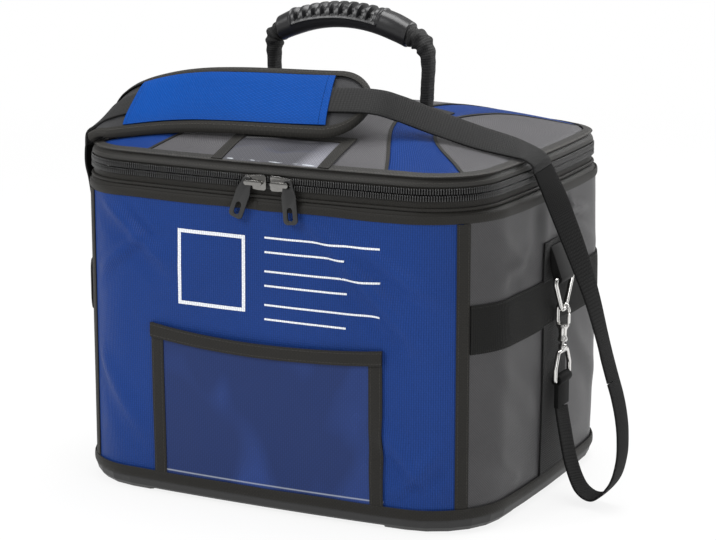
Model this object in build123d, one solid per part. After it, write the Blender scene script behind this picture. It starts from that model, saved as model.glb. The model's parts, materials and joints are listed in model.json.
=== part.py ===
# Soft-sided insulated bag for carrying specimens: fabric panels over foam on a moulded tray, a domed
# zipped lid with a carry handle, and a padded shoulder strap hung from rings by swivel snap hooks.
# Millimetres. X is the width (right is +), Y the depth (front is -), Z up from the floor.
import os
from collections import namedtuple
from math import acos, asin, atan2, cos, degrees, pi, radians, sin, sqrt, tan

from build123d import *

os.makedirs("parts", exist_ok=True)

Outline = namedtuple("Outline", "half_width half_depth bow corner")

# Overall sizes
body_half_width = 195.0
body_half_depth = 159.0
lid_set_in_side = 5.0     # how far the lid stands in from the body at its sides
lid_set_in_front = 1.0
lid_half_width = body_half_width - lid_set_in_side
lid_half_depth = body_half_depth - lid_set_in_front
side_bow = 8.0            # how far each side bulges at its middle
body_corner = 66.0
lid_corner = 60.0
body_height = 262.0       # top edge of the fabric panels
seam_gap = 0.2            # between layers that are sewn or laid together
sewn_gap = 0.4            # between panels that meet at a corner seam

# Base
base_height = 19.0
base_proud = 1.0          # how far the tray stands outside the fabric
tray_wall = 2.6
tray_floor = 3.0
tray_edge_radius = 11.0
foot_height = 3.5
foot_gap_half_width = 112.0
foot_gap_half_depth = 70.0
foot_gap_reach = 30.0
board_thickness = 2.8
board_inset = 10.0

# Walls
fabric_thickness = 1.6
foam_thickness = 9.2
floor_foam_thickness = 9.0
floor_foam_inset = 5.0
liner_thickness = 0.8
tape_thickness = 1.0
base_tape_low = 12.5
base_tape_high = 21.0
mouth_tape_width = 7.0
mouth_tape_rise = 2.0     # above the edge of the panels
mouth_tape_high = body_height + mouth_tape_rise
mouth_tape_low = mouth_tape_high - mouth_tape_width
corner_tape_width = 11.5
gusset_height = 5.0
gusset_top = body_height + gusset_height
piping_height = 2.8
piping_proud = 2.0
webbing_thickness = 1.2
side_band_low = 150.0
side_band_high = 190.0
side_webbing_half_width = 25.0
side_webbing_top = 222.0

# Document pocket on the front
pocket_centre = 5.0
pocket_half_width = 108.0
pocket_top = 152.0
pocket_sheet = 0.7
pocket_tape_width = 12.0

# Zip
chain_rise = 13.5         # from the gusset to the middle of the chain
chain_centre = gusset_top + chain_rise
chain_gap = 2.2           # between the two halves of the chain, where a slider's post runs
coil_height = 4.8
coil_proud = 1.8
zip_tape_thickness = 1.0
slider_length = 20.0
slider_nose_half = 6.3
slider_tail_half = 4.8
slider_plate = 1.6
slider_clearance = 0.3
slider_gap = 4.0          # between the two sliders where they meet
slider_spacing = slider_length + slider_gap
slider_middle = 11.0      # where they meet, to the right of the bag's middle
bail_peg_radius = 1.3
bail_room = 3.2
bail_thickness = 1.4
pull_length = 37.0
pull_half_width = 6.5
pull_thickness = 1.8
pull_eye_radius = 2.4
left_pull_tilt = 21.0
right_pull_tilt = 5.0

# Lid
edge_band_rise = 6.7      # from the middle of the chain
edge_band_width = 6.8
lid_floor_rise = 0.8      # from the lower edge of the band
edge_band_low = chain_centre + edge_band_rise
lid_rim = edge_band_low + edge_band_width
lid_floor = edge_band_low + lid_floor_rise
lid_rise = 33.0
crown_power = 1.7
crown_steps = (1.0, 0.94, 0.84, 0.7, 0.5, 0.25)
lid_fabric = 1.2
lid_foam_thickness = 9.6
stripe_front_inner = 112.0
stripe_foot_inner = 66.0
stripe_front_outer = 175.0
stripe_foot_outer = 103.0
window_centre = 9.0
window_half_width = 54.0
window_front = -156.0
window_back = -104.0
window_sheet = 0.8
window_tape_width = 10.0
hinge_drop = 13.0         # the hinge line below the lid's rim

# Carry handle
foot_half_spacing = 79.5
pivot_rise = 37.5         # from the lid's rim to the line the handle turns on
handle_pivot = lid_rim + pivot_rise
grip_half_length = 63.0
leg_rise = 48.5
grip_rise = 19.5          # from the grip's ends to its middle
grip_end_height = handle_pivot + leg_rise
grip_top_centre = grip_end_height + grip_rise
grip_radius = 11.8
grip_half_wide = 13.8
grip_sides = 16
grip_bore_clearance = 0.3
grip_groove_count = 8
grip_groove_pitch = 9.6
grip_groove_width = 4.6
grip_groove_depth = 3.0
grip_steps = 5            # straight steps in half of the grip
leg_steps = 6             # and in the leg beyond it
leg_half_width = 9.0
leg_thickness = 8.0
foot_radius = 8.5
leg_bend_turn = 73.0
patch_half_length = 20.0
patch_half_width = 17.0

# Rings, hooks and strap ends
ring_stand_off = 9.6      # from the body's side
ring_plane = body_half_width + ring_stand_off
ring_bar_height = 190.0
ring_apex_height = 162.0
ring_half_width = 20.5
ring_wire = 2.0
ring_corner = 3.0
ring_tip = 7.0            # radius of the ring's lower corner
hanger_half_width = 14.0
hanger_wall = 1.8
hook_half_thickness = 2.3
hook_outer_radius = 6.3
hook_inner_radius = 3.7
hook_body_top = 149.0
hook_body_bottom = 134.0
hook_body_half_width = 4.2
gate_length = 9.4
gate_width = 2.2
stem_radius = 1.7
eye_top = 126.0
eye_bar_height = 102.0
eye_half_width = 15.5
eye_top_half_width = 5.0
eye_wire = 1.6

# Shoulder strap and pad
strap_width = 25.0
strap_thickness = 2.0
pad_thickness = 7.0
pad_width = 70.0
sleeve_width = 58.0
sleeve_thickness = 1.4

body = Outline(body_half_width, body_half_depth, side_bow, body_corner)
lid = Outline(lid_half_width, lid_half_depth, side_bow, lid_corner)
foam_inner = fabric_thickness + seam_gap + foam_thickness
liner_outer = foam_inner + seam_gap
liner_inner = liner_outer + liner_thickness
floor_foam_bottom = tray_floor + seam_gap + board_thickness + seam_gap
wall_foam_bottom = floor_foam_bottom + floor_foam_thickness + seam_gap
chain_low = chain_centre - chain_gap / 2
chain_high = chain_centre + chain_gap / 2
piping_low = gusset_top + seam_gap
zip_tape_low = piping_low + piping_height + seam_gap
hinge_height = lid_rim - hinge_drop
reach = 400.0             # longer than any half of the bag, for cutting tools

# Straight steps that stand for curves
front_steps = 3           # in half of the front or back
corner_steps = 5
side_steps = 2            # in half of a side
small_round_steps = 3     # in each rounded corner of a small part


def side_radius(half_length, bow):
    return (half_length ** 2 + bow ** 2) / (2 * bow)


def plan_points(outline, inset=0.0):
    """Points of the bag's outline seen from above, drawn in by inset all round."""
    long_radius = side_radius(outline.half_width, outline.bow)
    short_radius = side_radius(outline.half_depth, outline.bow)
    corner = corner_centre(outline)
    first = Vector(0, outline.half_depth - long_radius)
    second = Vector(outline.half_width - short_radius, 0)
    turn_in = atan2(corner.Y - first.Y, corner.X - first.X)
    turn_out = atan2(corner.Y - second.Y, corner.X - second.X)
    arcs = [(first, long_radius, pi / 2, turn_in, front_steps),
            (corner, outline.corner, turn_in, turn_out, corner_steps),
            (second, short_radius, turn_out, 0, side_steps)]
    quarter = [(0, outline.half_depth - inset)]
    for centre, radius, start, end, steps in arcs:
        for step in range(1, steps + 1):
            angle = start + (end - start) * step / steps
            quarter.append((centre.X + (radius - inset) * cos(angle), centre.Y + (radius - inset) * sin(angle)))
    right = quarter + [(x, -y) for x, y in reversed(quarter[:-1])]
    left = [(-x, y) for x, y in reversed(right[1:-1])]
    return list(reversed(right + left))


def plan(outline, inset=0.0):
    return make_face(Polyline(*plan_points(outline, inset), close=True))


def skin(loops, closed=False):
    """A solid with flat faces between loops of points, which joins the last loop to the first if closed."""
    faces = []
    pairs = list(zip(loops, loops[1:]))
    if closed:
        pairs.append((loops[-1], loops[0]))
    else:
        faces += [make_face(Polyline(*loop, close=True)) for loop in (loops[0], loops[-1])]
    for low, high in pairs:
        for index in range(len(low)):
            a, b, c, d = (Vector(*point) for point in (low[index - 1], low[index], high[index], high[index - 1]))
            across = (b - a).cross(d - a).normalized()
            corners = [(a, b, c, d)] if abs((c - a).dot(across)) < 1e-7 else [(a, b, c), (a, c, d)]
            faces += [make_face(Polyline(*points, close=True)) for points in corners]
    return Solid(Shell(faces))


def plan_loop(outline, inset, height):
    return [(x, y, height) for x, y in plan_points(outline, inset)]


def on_plane(plane, points):
    return [tuple((plane.location * Pos(x, y, 0)).position) for x, y in points]


def slab(outline, inset, low, high):
    return Pos(0, 0, low) * extrude(plan(outline, inset), high - low)


def ring_wall(outline, outer, inner, low, high):
    """A wall that follows the outline between two insets."""
    return slab(outline, outer, low, high) - slab(outline, inner, low, high)


def corner_centre(outline):
    """Centre of the corner arc at the back right."""
    long_radius = side_radius(outline.half_width, outline.bow)
    short_radius = side_radius(outline.half_depth, outline.bow)
    first = Vector(0, outline.half_depth - long_radius)
    second = Vector(outline.half_width - short_radius, 0)
    apart = (second - first).length
    first_radius = long_radius - outline.corner
    second_radius = short_radius - outline.corner
    along = (apart ** 2 + first_radius ** 2 - second_radius ** 2) / (2 * apart)
    across = sqrt(first_radius ** 2 - along ** 2)
    direction = (second - first).normalized()
    return first + direction * along + Vector(direction.Y, -direction.X) * across


def side_wedge(outline, side, gap=0.0):
    """A tall prism over one side of the bag, out from the middle of its corner arcs."""
    corner = corner_centre(outline)
    shift = gap / sqrt(2)
    if side in ("front", "back"):
        near, out, across = corner.X - shift, corner.Y, reach
        points = [(-near, out), (near, out), (near + across, out + across), (-near - across, out + across)]
        if side == "front":
            points = [(x, -y) for x, y in points]
    else:
        near, out, across = corner.Y - shift, corner.X, reach
        points = [(out, -near), (out, near), (out + across, near + across), (out + across, -near - across)]
        if side == "left":
            points = [(-x, y) for x, y in points]
    return extrude(make_face(Polyline(points, close=True)), reach, both=True)


def box_between(low, high):
    size = Vector(*high) - Vector(*low)
    centre = (Vector(*high) + Vector(*low)) * 0.5
    return Pos(centre) * Box(size.X, size.Y, size.Z)


def mirrored(shape):
    return mirror(shape, about=Plane.YZ)


def frames(stations, level=False):
    """A plane square to a strap at each station, a point and the direction across the strap.

    Where level is set, the direction across is kept as it is, and the plane only leans along the strap.
    """
    points = [Vector(*point) for point, _ in stations]
    planes = []
    for index, (point, across) in enumerate(stations):
        along = points[min(index + 1, len(points) - 1)] - points[max(index - 1, 0)]
        if level:
            across = Vector(*across).normalized()
            along -= across * along.dot(across)
        planes.append(Plane(origin=point, x_dir=across, z_dir=along))
    return planes


def faceted(shape, steps=small_round_steps):
    """A flat shape with each of its arcs drawn as straight steps."""
    loops = []
    face = shape.face()
    for wire in [face.outer_wire(), *face.inner_wires()]:
        points = []
        done = 0.0
        for edge in wire.order_edges():
            count = 1 if edge.geom_type == GeomType.LINE else max(1, round(steps * edge.length / (edge.radius * pi / 2)))
            for step in range(count):
                at = done + edge.length * step / count
                points.append(wire.position_at(at, position_mode=PositionMode.LENGTH))
            done += edge.length
        loops.append(make_face(Polyline(*points, close=True)))
    result = loops[0]
    for hole in loops[1:]:
        result -= hole
    return result


def ribbon(planes, width, thickness, lift=0.0):
    """A flat strap through planes, moved off them by lift along their own Y."""
    return loft([plane * Pos(0, lift) * Rectangle(width, thickness) for plane in planes], ruled=True)


def dome(lift, base):
    """The lid's domed form above the height base, moved out by lift."""
    loops = []
    for step in crown_steps:
        scaled = Outline(*(size * step for size in lid))
        height = base + (lid_rim + lid_rise + lift - base) * (1 - step ** crown_power)
        loops.append(plan_loop(scaled, -lift * step, height))
    return skin(loops)


def crown(lift, low):
    """The domed form with upright sides down to low, if low is under its rim."""
    base = lid_rim + lift
    if base <= low:
        return dome(lift, low)
    return dome(lift, base) + slab(lid, -lift, low, base)


# Base -------------------------------------------------------------------------------------------

def bowl(inset, low, radius):
    """The tray's form above low, with its lower edge rounded in three steps."""
    loops = []
    for angle in (90, 60, 30, 0):
        height = low + radius * (1 - sin(radians(angle)))
        loops.append(plan_loop(body, inset + radius * (1 - cos(radians(angle))), height))
    return skin(loops + [plan_loop(body, inset, base_height)])


def make_base_tray():
    tray = bowl(-base_proud, 0, tray_edge_radius)
    tray -= bowl(tray_wall - base_proud, tray_floor, tray_edge_radius - tray_wall)
    deep = body_half_depth + base_proud - foot_gap_reach
    wide = body_half_width + base_proud - foot_gap_reach
    for sign in (-1, 1):
        tray -= Pos(0, sign * (deep + reach / 2), 0) * Box(2 * foot_gap_half_width, reach, 2 * foot_height)
        tray -= Pos(sign * (wide + reach / 2), 0, 0) * Box(reach, 2 * foot_gap_half_depth, 2 * foot_height)
    return tray


def make_base_binding():
    outer = -(base_proud + seam_gap + tape_thickness)
    return ring_wall(body, outer, -(base_proud + seam_gap), base_tape_low, base_tape_high)


def make_base_board():
    low = tray_floor + seam_gap
    return slab(body, board_inset, low, low + board_thickness)


def make_foam_floor():
    return slab(body, floor_foam_inset, floor_foam_bottom, floor_foam_bottom + floor_foam_thickness)


# Walls ------------------------------------------------------------------------------------------

def make_panel(side):
    wall = ring_wall(body, 0, fabric_thickness, base_height + seam_gap, body_height)
    return wall & side_wedge(body, side, sewn_gap)


def make_foam(sides):
    top = body_height - 1.0 - seam_gap
    wall = ring_wall(body, fabric_thickness + seam_gap, foam_inner, wall_foam_bottom, top)
    return [wall & side_wedge(body, side, sewn_gap) for side in sides]


def make_inner_liner():
    floor = slab(body, liner_outer, wall_foam_bottom, wall_foam_bottom + liner_thickness)
    wall = ring_wall(body, liner_outer, liner_inner, wall_foam_bottom, body_height)
    lip = ring_wall(body, fabric_thickness + seam_gap, liner_inner, body_height - 1.0, body_height)
    return floor + wall + lip


def make_corner_bindings():
    corner = corner_centre(body)
    tape = ring_wall(body, -(seam_gap + tape_thickness), -seam_gap,
                     base_tape_high + seam_gap, mouth_tape_low - seam_gap)
    pieces = []
    for x_sign in (-1, 1):
        for y_sign in (-1, 1):
            cutter = Pos(x_sign * corner.X, y_sign * corner.Y) * Rot(0, 0, 45 * x_sign * y_sign)
            half = Pos(x_sign * reach / 2, 0, reach / 2) * Box(reach, corner_tape_width, reach)
            pieces.append(tape & (cutter * half))
    return pieces


def make_mouth_gusset():
    def taper(inset):
        return skin([plan_loop(body, inset, body_height + seam_gap), plan_loop(lid, inset, gusset_top)])
    return taper(0) - taper(fabric_thickness)


def make_mouth_binding():
    return ring_wall(body, -(seam_gap + tape_thickness), -seam_gap, mouth_tape_low, mouth_tape_high)


def zipped_part(wall):
    """The zip runs round the front and both sides; the back is the lid's hinge."""
    return wall - side_wedge(lid, "back")


def make_mouth_piping():
    return zipped_part(ring_wall(lid, -piping_proud, zip_tape_thickness, piping_low, piping_low + piping_height))


def make_zipper_tape_lower():
    tape = ring_wall(lid, 0, zip_tape_thickness, zip_tape_low, chain_low)
    coil = ring_wall(lid, -coil_proud, zip_tape_thickness, chain_low - coil_height, chain_low)
    return zipped_part(tape + coil)


def make_lid_hinge_strip():
    strip = ring_wall(lid, 0, fabric_thickness, piping_low, hinge_height)
    return strip & side_wedge(lid, "back", sewn_gap)


def make_side_band(side):
    band = ring_wall(body, -(seam_gap + webbing_thickness), -seam_gap, side_band_low, side_band_high)
    return band & side_wedge(body, side, corner_tape_width + sewn_gap)


def make_side_webbing(sign):
    inner = -(2 * seam_gap + webbing_thickness)
    strip = ring_wall(body, inner - webbing_thickness, inner, base_tape_high + seam_gap, side_webbing_top)
    middle = box_between((0, -side_webbing_half_width, 0), (reach, side_webbing_half_width, reach))
    piece = strip & middle
    return piece if sign > 0 else mirrored(piece)


def make_document_pocket():
    sheet = ring_wall(body, -(seam_gap + pocket_sheet), -seam_gap, base_height + seam_gap, pocket_top)
    left, right = pocket_centre - pocket_half_width, pocket_centre + pocket_half_width
    return sheet & box_between((left, -reach, 0), (right, 0, reach))


def make_document_pocket_binding():
    inner = -(2 * seam_gap + pocket_sheet)
    tape = ring_wall(body, inner - tape_thickness, inner, base_tape_high + seam_gap, pocket_top)
    left, right = pocket_centre - pocket_half_width, pocket_centre + pocket_half_width
    frame = box_between((left, -reach, 0), (right, 0, reach))
    frame -= box_between((left + pocket_tape_width, -reach, 0),
                         (right - pocket_tape_width, 0, pocket_top - pocket_tape_width))
    return tape & frame


# Lid --------------------------------------------------------------------------------------------

def make_zipper_tape_upper():
    tape = ring_wall(lid, 0, zip_tape_thickness, chain_high, edge_band_low - seam_gap)
    coil = ring_wall(lid, -coil_proud, zip_tape_thickness, chain_high, chain_high + coil_height)
    return zipped_part(tape + coil)


def make_lid_edge_band():
    band = ring_wall(lid, -tape_thickness, zip_tape_thickness + 0.4, edge_band_low, lid_rim - seam_gap)
    back = ring_wall(lid, 0, fabric_thickness, hinge_height + seam_gap, edge_band_low)
    return band + (back & side_wedge(lid, "back", sewn_gap))


def stripe_prism():
    """The blue stripe on the right: wide at the front and back edges, narrow at the handle's foot."""
    front = lid_half_depth + 20
    inner_mid = (stripe_front_inner + stripe_foot_inner) / 2
    outer_mid = stripe_foot_outer + 0.3 * (stripe_front_outer - stripe_foot_outer)
    inner = Spline((stripe_front_inner, -front), (inner_mid, -front / 2), (stripe_foot_inner, 0),
                   (inner_mid, front / 2), (stripe_front_inner, front))
    outer = Spline((stripe_front_outer, -front + 30), (outer_mid, -front * 0.6), (stripe_foot_outer, 0),
                   (outer_mid, front * 0.6), (stripe_front_outer, front - 30))
    ends = [Line(inner @ 0, (reach, -front)), Line((reach, -front), (reach, front)), Line((reach, front), inner @ 1)]
    beyond_inner = make_face(Curve() + [inner, *ends])
    tips = [Line(outer @ 0, (reach, -front + 30)), Line((reach, -front + 30), (reach, front - 30)),
            Line((reach, front - 30), outer @ 1)]
    beyond_outer = make_face(Curve() + [outer, *tips])
    return extrude(beyond_inner, reach), extrude(beyond_outer, reach)


def make_lid_panels():
    skin = dome(0, lid_rim) - crown(-lid_fabric, lid_rim - 5)
    beyond_inner, beyond_outer = stripe_prism()
    right_half = skin & box_between((0, -reach, 0), (reach, reach, reach))
    stripe = (right_half & beyond_inner) - beyond_outer
    end = right_half & beyond_outer
    centre = skin - beyond_inner - mirrored(beyond_inner)
    return {"lid_centre_panel": centre,
            "lid_stripe_right": stripe, "lid_stripe_left": mirrored(stripe),
            "lid_end_right": end, "lid_end_left": mirrored(end)}


def make_lid_foam():
    outer = -(zip_tape_thickness + 0.9)
    low = lid_floor + liner_thickness + seam_gap
    return crown(outer, low) - crown(outer - lid_foam_thickness, low)


def make_lid_liner():
    outer = -(zip_tape_thickness + 0.9)
    inner = outer - lid_foam_thickness - seam_gap
    shell = crown(inner, lid_floor) - crown(inner - liner_thickness, lid_floor)
    flange = ring_wall(lid, -outer, -inner + liner_thickness, lid_floor, lid_floor + liner_thickness)
    return shell + flange


def lid_skin(low, high):
    return crown(high, lid_rim) - crown(low, lid_rim - 1)


def window_area(margin):
    left, right = window_centre - window_half_width, window_centre + window_half_width
    return box_between((left + margin, window_front, 0), (right - margin, window_back - margin, reach))


def make_window_pocket():
    return lid_skin(seam_gap, seam_gap + window_sheet) & window_area(0)


def make_window_binding():
    low = 2 * seam_gap + window_sheet
    tape = lid_skin(low, low + tape_thickness)
    return (tape & window_area(0)) - window_area(window_tape_width)


def make_handle_patches():
    tape = lid_skin(seam_gap, seam_gap + webbing_thickness)
    area = Box(2 * patch_half_width, 2 * patch_half_length, reach)
    return [tape & (Pos(sign * foot_half_spacing, 0, lid_rim) * area) for sign in (-1, 1)]


# Carry handle -----------------------------------------------------------------------------------

def handle_plane(angle):
    """The plane across the handle where it has turned by angle from the top of the grip."""
    side = -1 if angle < 0 else 1
    drop = grip_top_centre - grip_end_height
    grip_arc_radius = (grip_half_length ** 2 + drop ** 2) / (2 * drop)
    fall = asin(grip_half_length / grip_arc_radius)
    if abs(angle) <= fall:
        x, z = grip_arc_radius * sin(angle), grip_top_centre - grip_arc_radius * (1 - cos(angle))
    else:
        bend = (grip_end_height - handle_pivot) / (cos(fall) - cos(fall + radians(leg_bend_turn)))
        x = side * (grip_half_length + bend * (sin(abs(angle)) - sin(fall)))
        z = grip_end_height - bend * (cos(fall) - cos(angle))
    return Plane(origin=(x, 0, z), x_dir=(0, 1, 0), z_dir=(cos(angle), 0, -sin(angle)))


def handle_angles():
    """The turns at which the grip's half and the leg beyond it are drawn."""
    drop = grip_top_centre - grip_end_height
    fall = asin(2 * grip_half_length * drop / (grip_half_length ** 2 + drop ** 2))
    grip = [fall * step / grip_steps for step in range(grip_steps + 1)]
    leg = [fall + radians(leg_bend_turn) * step / leg_steps for step in range(1, leg_steps + 1)]
    return grip, leg


def both_ways(angles):
    return [-angle for angle in reversed(angles) if angle] + angles


def cut_points(width, height, cut):
    half_width, half_height = width / 2, height / 2
    quarter = [(half_width, half_height - cut), (half_width - cut, half_height)]
    top = quarter + [(-x, y) for x, y in reversed(quarter)]
    return top + [(-x, -y) for x, y in top]


def cut_cornered(width, height, cut):
    """A rectangle with its corners cut off."""
    return make_face(Polyline(*cut_points(width, height, cut), close=True))


def make_handle_webbing():
    grip, leg = handle_angles()
    section = cut_points(2 * leg_half_width, leg_thickness, leg_thickness * 0.3)
    sheath = skin([on_plane(handle_plane(angle), section) for angle in both_ways(grip + leg)])
    for end in (-leg[-1], leg[-1]):
        foot = handle_plane(end).origin
        disc = extrude(Plane.YZ * RegularPolygon(foot_radius, 16), leg_thickness / 2, both=True)
        sheath += Pos(foot) * disc
    return sheath


def make_handle_grip():
    grip, _ = handle_angles()
    planes = [handle_plane(angle) for angle in both_ways(grip)]
    outer_section = [(grip_half_wide * cos(turn) + 0.16 * grip_half_wide * cos(turn) * sin(turn) ** 2,
                      grip_radius * sin(turn) + 0.16 * grip_radius * sin(turn) * cos(turn) ** 2)
                     for turn in (2 * pi * (step + 0.5) / grip_sides for step in range(grip_sides))]
    bore_section = cut_points(2 * (leg_half_width + grip_bore_clearance), leg_thickness + 2 * grip_bore_clearance,
                              leg_thickness * 0.3)
    moulding = skin([on_plane(plane, outer_section) for plane in planes])
    moulding -= skin([on_plane(plane, bore_section) for plane in planes])
    drop = grip_top_centre - grip_end_height
    arc_radius = (grip_half_length ** 2 + drop ** 2) / (2 * drop)
    for index in range(grip_groove_count):
        angle = grip_groove_pitch / arc_radius * (index - (grip_groove_count - 1) / 2)
        cutter = Pos(0, 0, grip_radius) * Box(grip_groove_width, 4 * grip_radius, 2 * grip_groove_depth)
        moulding -= Pos(handle_plane(angle).origin) * Rot(0, degrees(angle), 0) * cutter
    return moulding


# Zip sliders ------------------------------------------------------------------------------------

zip_run_radius = side_radius(lid.half_width, lid.bow)
slider_face = -lid.half_depth - coil_proud - slider_clearance
slider_back = -lid.half_depth + zip_tape_thickness + slider_clearance
bail_peg = -slider_length / 2 + 3.2


def place_on_zip(shape, along):
    """Turn a shape made at the middle of the front along the zip's own arc."""
    centre = Pos(0, zip_run_radius - lid.half_depth, 0)
    turn = Rot(0, 0, degrees(along / zip_run_radius))
    return centre * turn * centre.inverse() * shape


def make_slider():
    """A slider with its nose to the right, at the middle of the front."""
    half = slider_length / 2
    corner = 1.2
    outline = make_face(Polyline((-half, -slider_tail_half + corner), (-half + corner, -slider_tail_half),
                                 (half - 7, -slider_nose_half), (half - 1.5, -slider_nose_half),
                                 (half, -slider_nose_half + 1.5), (half, slider_nose_half - 1.5),
                                 (half - 1.5, slider_nose_half), (half - 7, slider_nose_half),
                                 (-half + corner, slider_tail_half), (-half, slider_tail_half - corner), close=True))
    plate = extrude(Plane.XZ * outline, slider_plate)
    front = Pos(0, slider_face, chain_centre) * plate
    back = Pos(0, slider_back + slider_plate, chain_centre) * plate
    post_half = chain_gap / 2 - slider_clearance
    post = box_between((half - 6, slider_face - 0.5, chain_centre - post_half),
                       (half - 1, slider_back + 0.5, chain_centre + post_half))
    front_face = slider_face - slider_plate
    pegs = []
    for x in (bail_peg, half - 3.2):
        peg = extrude(Plane.XZ * RegularPolygon(bail_peg_radius, 12), bail_room / 2 + 0.3, both=True)
        pegs.append(Pos(x, front_face - bail_room / 2, chain_centre) * peg)
    bar_middle = (bail_peg + half - 3.2) / 2
    bar_length = half - 3.2 - bail_peg + 2 * bail_peg_radius
    bar = Pos(bar_middle, front_face - bail_room - bail_thickness / 2, chain_centre)
    bar = bar * extrude(Plane.XZ * cut_cornered(bar_length, 2 * bail_peg_radius + 1.6, 1.2), bail_thickness / 2, both=True)
    return front + back + post + pegs[0] + pegs[1] + bar


def make_pull(tilt):
    """The tab that hangs from the slider's peg, turned sideways by tilt."""
    bottom = -pull_length + pull_eye_radius + 2.2
    wide, waist = pull_half_width, 4.2
    right = [(waist, 0), (wide, -9), (wide, bottom + 3), (wide - 1, bottom + 1), (wide - 3, bottom)]
    blade = make_face(Polyline(*right, *[(-x, y) for x, y in reversed(right)], close=True))
    face = blade + RegularPolygon(pull_eye_radius + 2.2, 16)
    face -= RegularPolygon(pull_eye_radius / cos(pi / 12), 12)
    face -= Pos(0, bottom + 8.5) * cut_cornered(5, 11, 1.6)
    solid = extrude(Plane.XZ * face, pull_thickness)
    y = slider_face - slider_plate - 0.6
    return Pos(bail_peg, y, chain_centre) * Rot(0, tilt, 0) * solid


def make_zip_parts():
    left_at = slider_middle - slider_spacing / 2
    right_at = slider_middle + slider_spacing / 2
    slider = make_slider()
    return {"zip_slider_left": place_on_zip(slider, left_at),
            "zip_slider_right": place_on_zip(mirrored(slider), right_at),
            "zip_pull_left": place_on_zip(make_pull(left_pull_tilt), left_at),
            "zip_pull_right": place_on_zip(mirrored(make_pull(right_pull_tilt)), right_at)}


# Rings, hooks and strap ends, made on the right and mirrored to the left ---------------------------

def side_view(shape):
    """Turn a shape drawn in XY so that it stands in the plane of the ring, facing the side."""
    return Plane.YZ * shape


def rounded_points(points, radii, steps):
    """Points of a closed outline with each corner rounded in straight steps."""
    result = []
    for index, (corner, radius) in enumerate(zip(points, radii)):
        corner = Vector(*corner)
        back = (Vector(*points[index - 1]) - corner).normalized()
        onward = (Vector(*points[(index + 1) % len(points)]) - corner).normalized()
        half = acos(back.dot(onward)) / 2
        centre = corner + (back + onward).normalized() * (radius / sin(half))
        start = corner + back * (radius / tan(half)) - centre
        turn = (pi - 2 * half) * (1 if back.cross(onward).Z < 0 else -1)
        for step in range(steps + 1):
            angle = turn * step / steps
            result.append((centre.X + start.X * cos(angle) - start.Y * sin(angle),
                           centre.Y + start.X * sin(angle) + start.Y * cos(angle)))
    return result


def make_ring():
    top, low = ring_bar_height, ring_apex_height
    corners = [(-ring_half_width, top), (0, low - ring_tip), (ring_half_width, top)]
    path = rounded_points(corners, (ring_corner, ring_tip, ring_corner), 4)
    loops = []
    for index, (y, z) in enumerate(path):
        here = Vector(y, z)
        before = (here - Vector(*path[index - 1])).normalized()
        after = (Vector(*path[(index + 1) % len(path)]) - here).normalized()
        out = (Vector(before.Y, -before.X) + Vector(after.Y, -after.X)).normalized()
        wide = ring_wire / out.dot(Vector(after.Y, -after.X))
        turns = [2 * pi * (side + 0.5) / 8 for side in range(8)]
        loops.append([(ring_plane + ring_wire * cos(turn), y + out.X * wide * sin(turn), z + out.Y * wide * sin(turn))
                      for turn in turns])
    return skin(loops, closed=True)


def polygon_round(bore, sides=16):
    """A polygon that keeps clear of a circle inside it."""
    return RegularPolygon(bore / cos(pi / sides), sides)


def make_ring_hanger():
    """The webbing loop that holds the ring's bar, sewn over the top of the upright webbing."""
    bar_room = ring_wire + 0.3
    wall_face = body_half_width + 3 * seam_gap + 2 * webbing_thickness
    low_x = wall_face - ring_plane
    tail = make_face(Polyline((-bar_room - hanger_wall, 0), (bar_room + hanger_wall, 0),
                              (low_x + 3.6, 20), (low_x, 28), (low_x, 8), close=True))
    profile = RegularPolygon(bar_room + hanger_wall, 16) + tail - polygon_round(bar_room)
    solid = extrude(Plane.XZ * profile, hanger_half_width, both=True)
    return Pos(ring_plane, 0, ring_bar_height) * solid


def make_snap_hook():
    """The hook's cast body: a round head with a throat, a mouth that the gate shuts, and a shank."""
    centre = ring_apex_height + 1.0 + ring_wire - hook_inner_radius
    lower = centre - hook_body_top
    length = hook_body_top - hook_body_bottom
    head = RegularPolygon(hook_outer_radius, 20) + Pos(0, -lower / 2) * Rectangle(2 * hook_outer_radius, lower)
    throat = polygon_round(hook_inner_radius, 20) + Pos(0, -4) * Rectangle(2 * hook_inner_radius, 8)
    throat += Pos(0, -8) * polygon_round(hook_inner_radius, 20)
    mouth = Pos(hook_outer_radius, -lower + gate_length / 2 + 0.5) * Rectangle(8, gate_length + 1.0)
    shoulder = Pos(0, -lower - 2.0) * cut_cornered(2 * hook_outer_radius, 4.2, 1.0)
    shank = Pos(0, -lower - length / 2) * Rectangle(2 * hook_body_half_width, length)
    profile = (head - throat - mouth) + shoulder + shank
    solid = Pos(ring_plane, 0, centre) * extrude(Plane.XZ * profile, hook_half_thickness, both=True)
    slot_low, slot_high = hook_body_bottom + 3, hook_body_top - 4
    for sign in (-1, 1):
        recess = Box(4.4, 1.6, slot_high - slot_low)
        solid -= Pos(ring_plane, sign * hook_half_thickness, (slot_low + slot_high) / 2) * recess
    bore = extrude(polygon_round(stem_radius + 0.05, 12), 4, both=True)
    return solid - Pos(ring_plane, 0, hook_body_bottom) * bore


def make_hook_gate():
    """The sprung lever that closes the hook's mouth; its foot turns in a notch of the shank."""
    low = hook_body_top + 0.3
    x = ring_plane + (hook_outer_radius + hook_inner_radius) / 2
    lever = extrude(Plane.XZ * cut_cornered(gate_width, gate_length, 0.7), hook_half_thickness - 0.3, both=True)
    return Pos(x, 0, low + gate_length / 2) * lever


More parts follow.
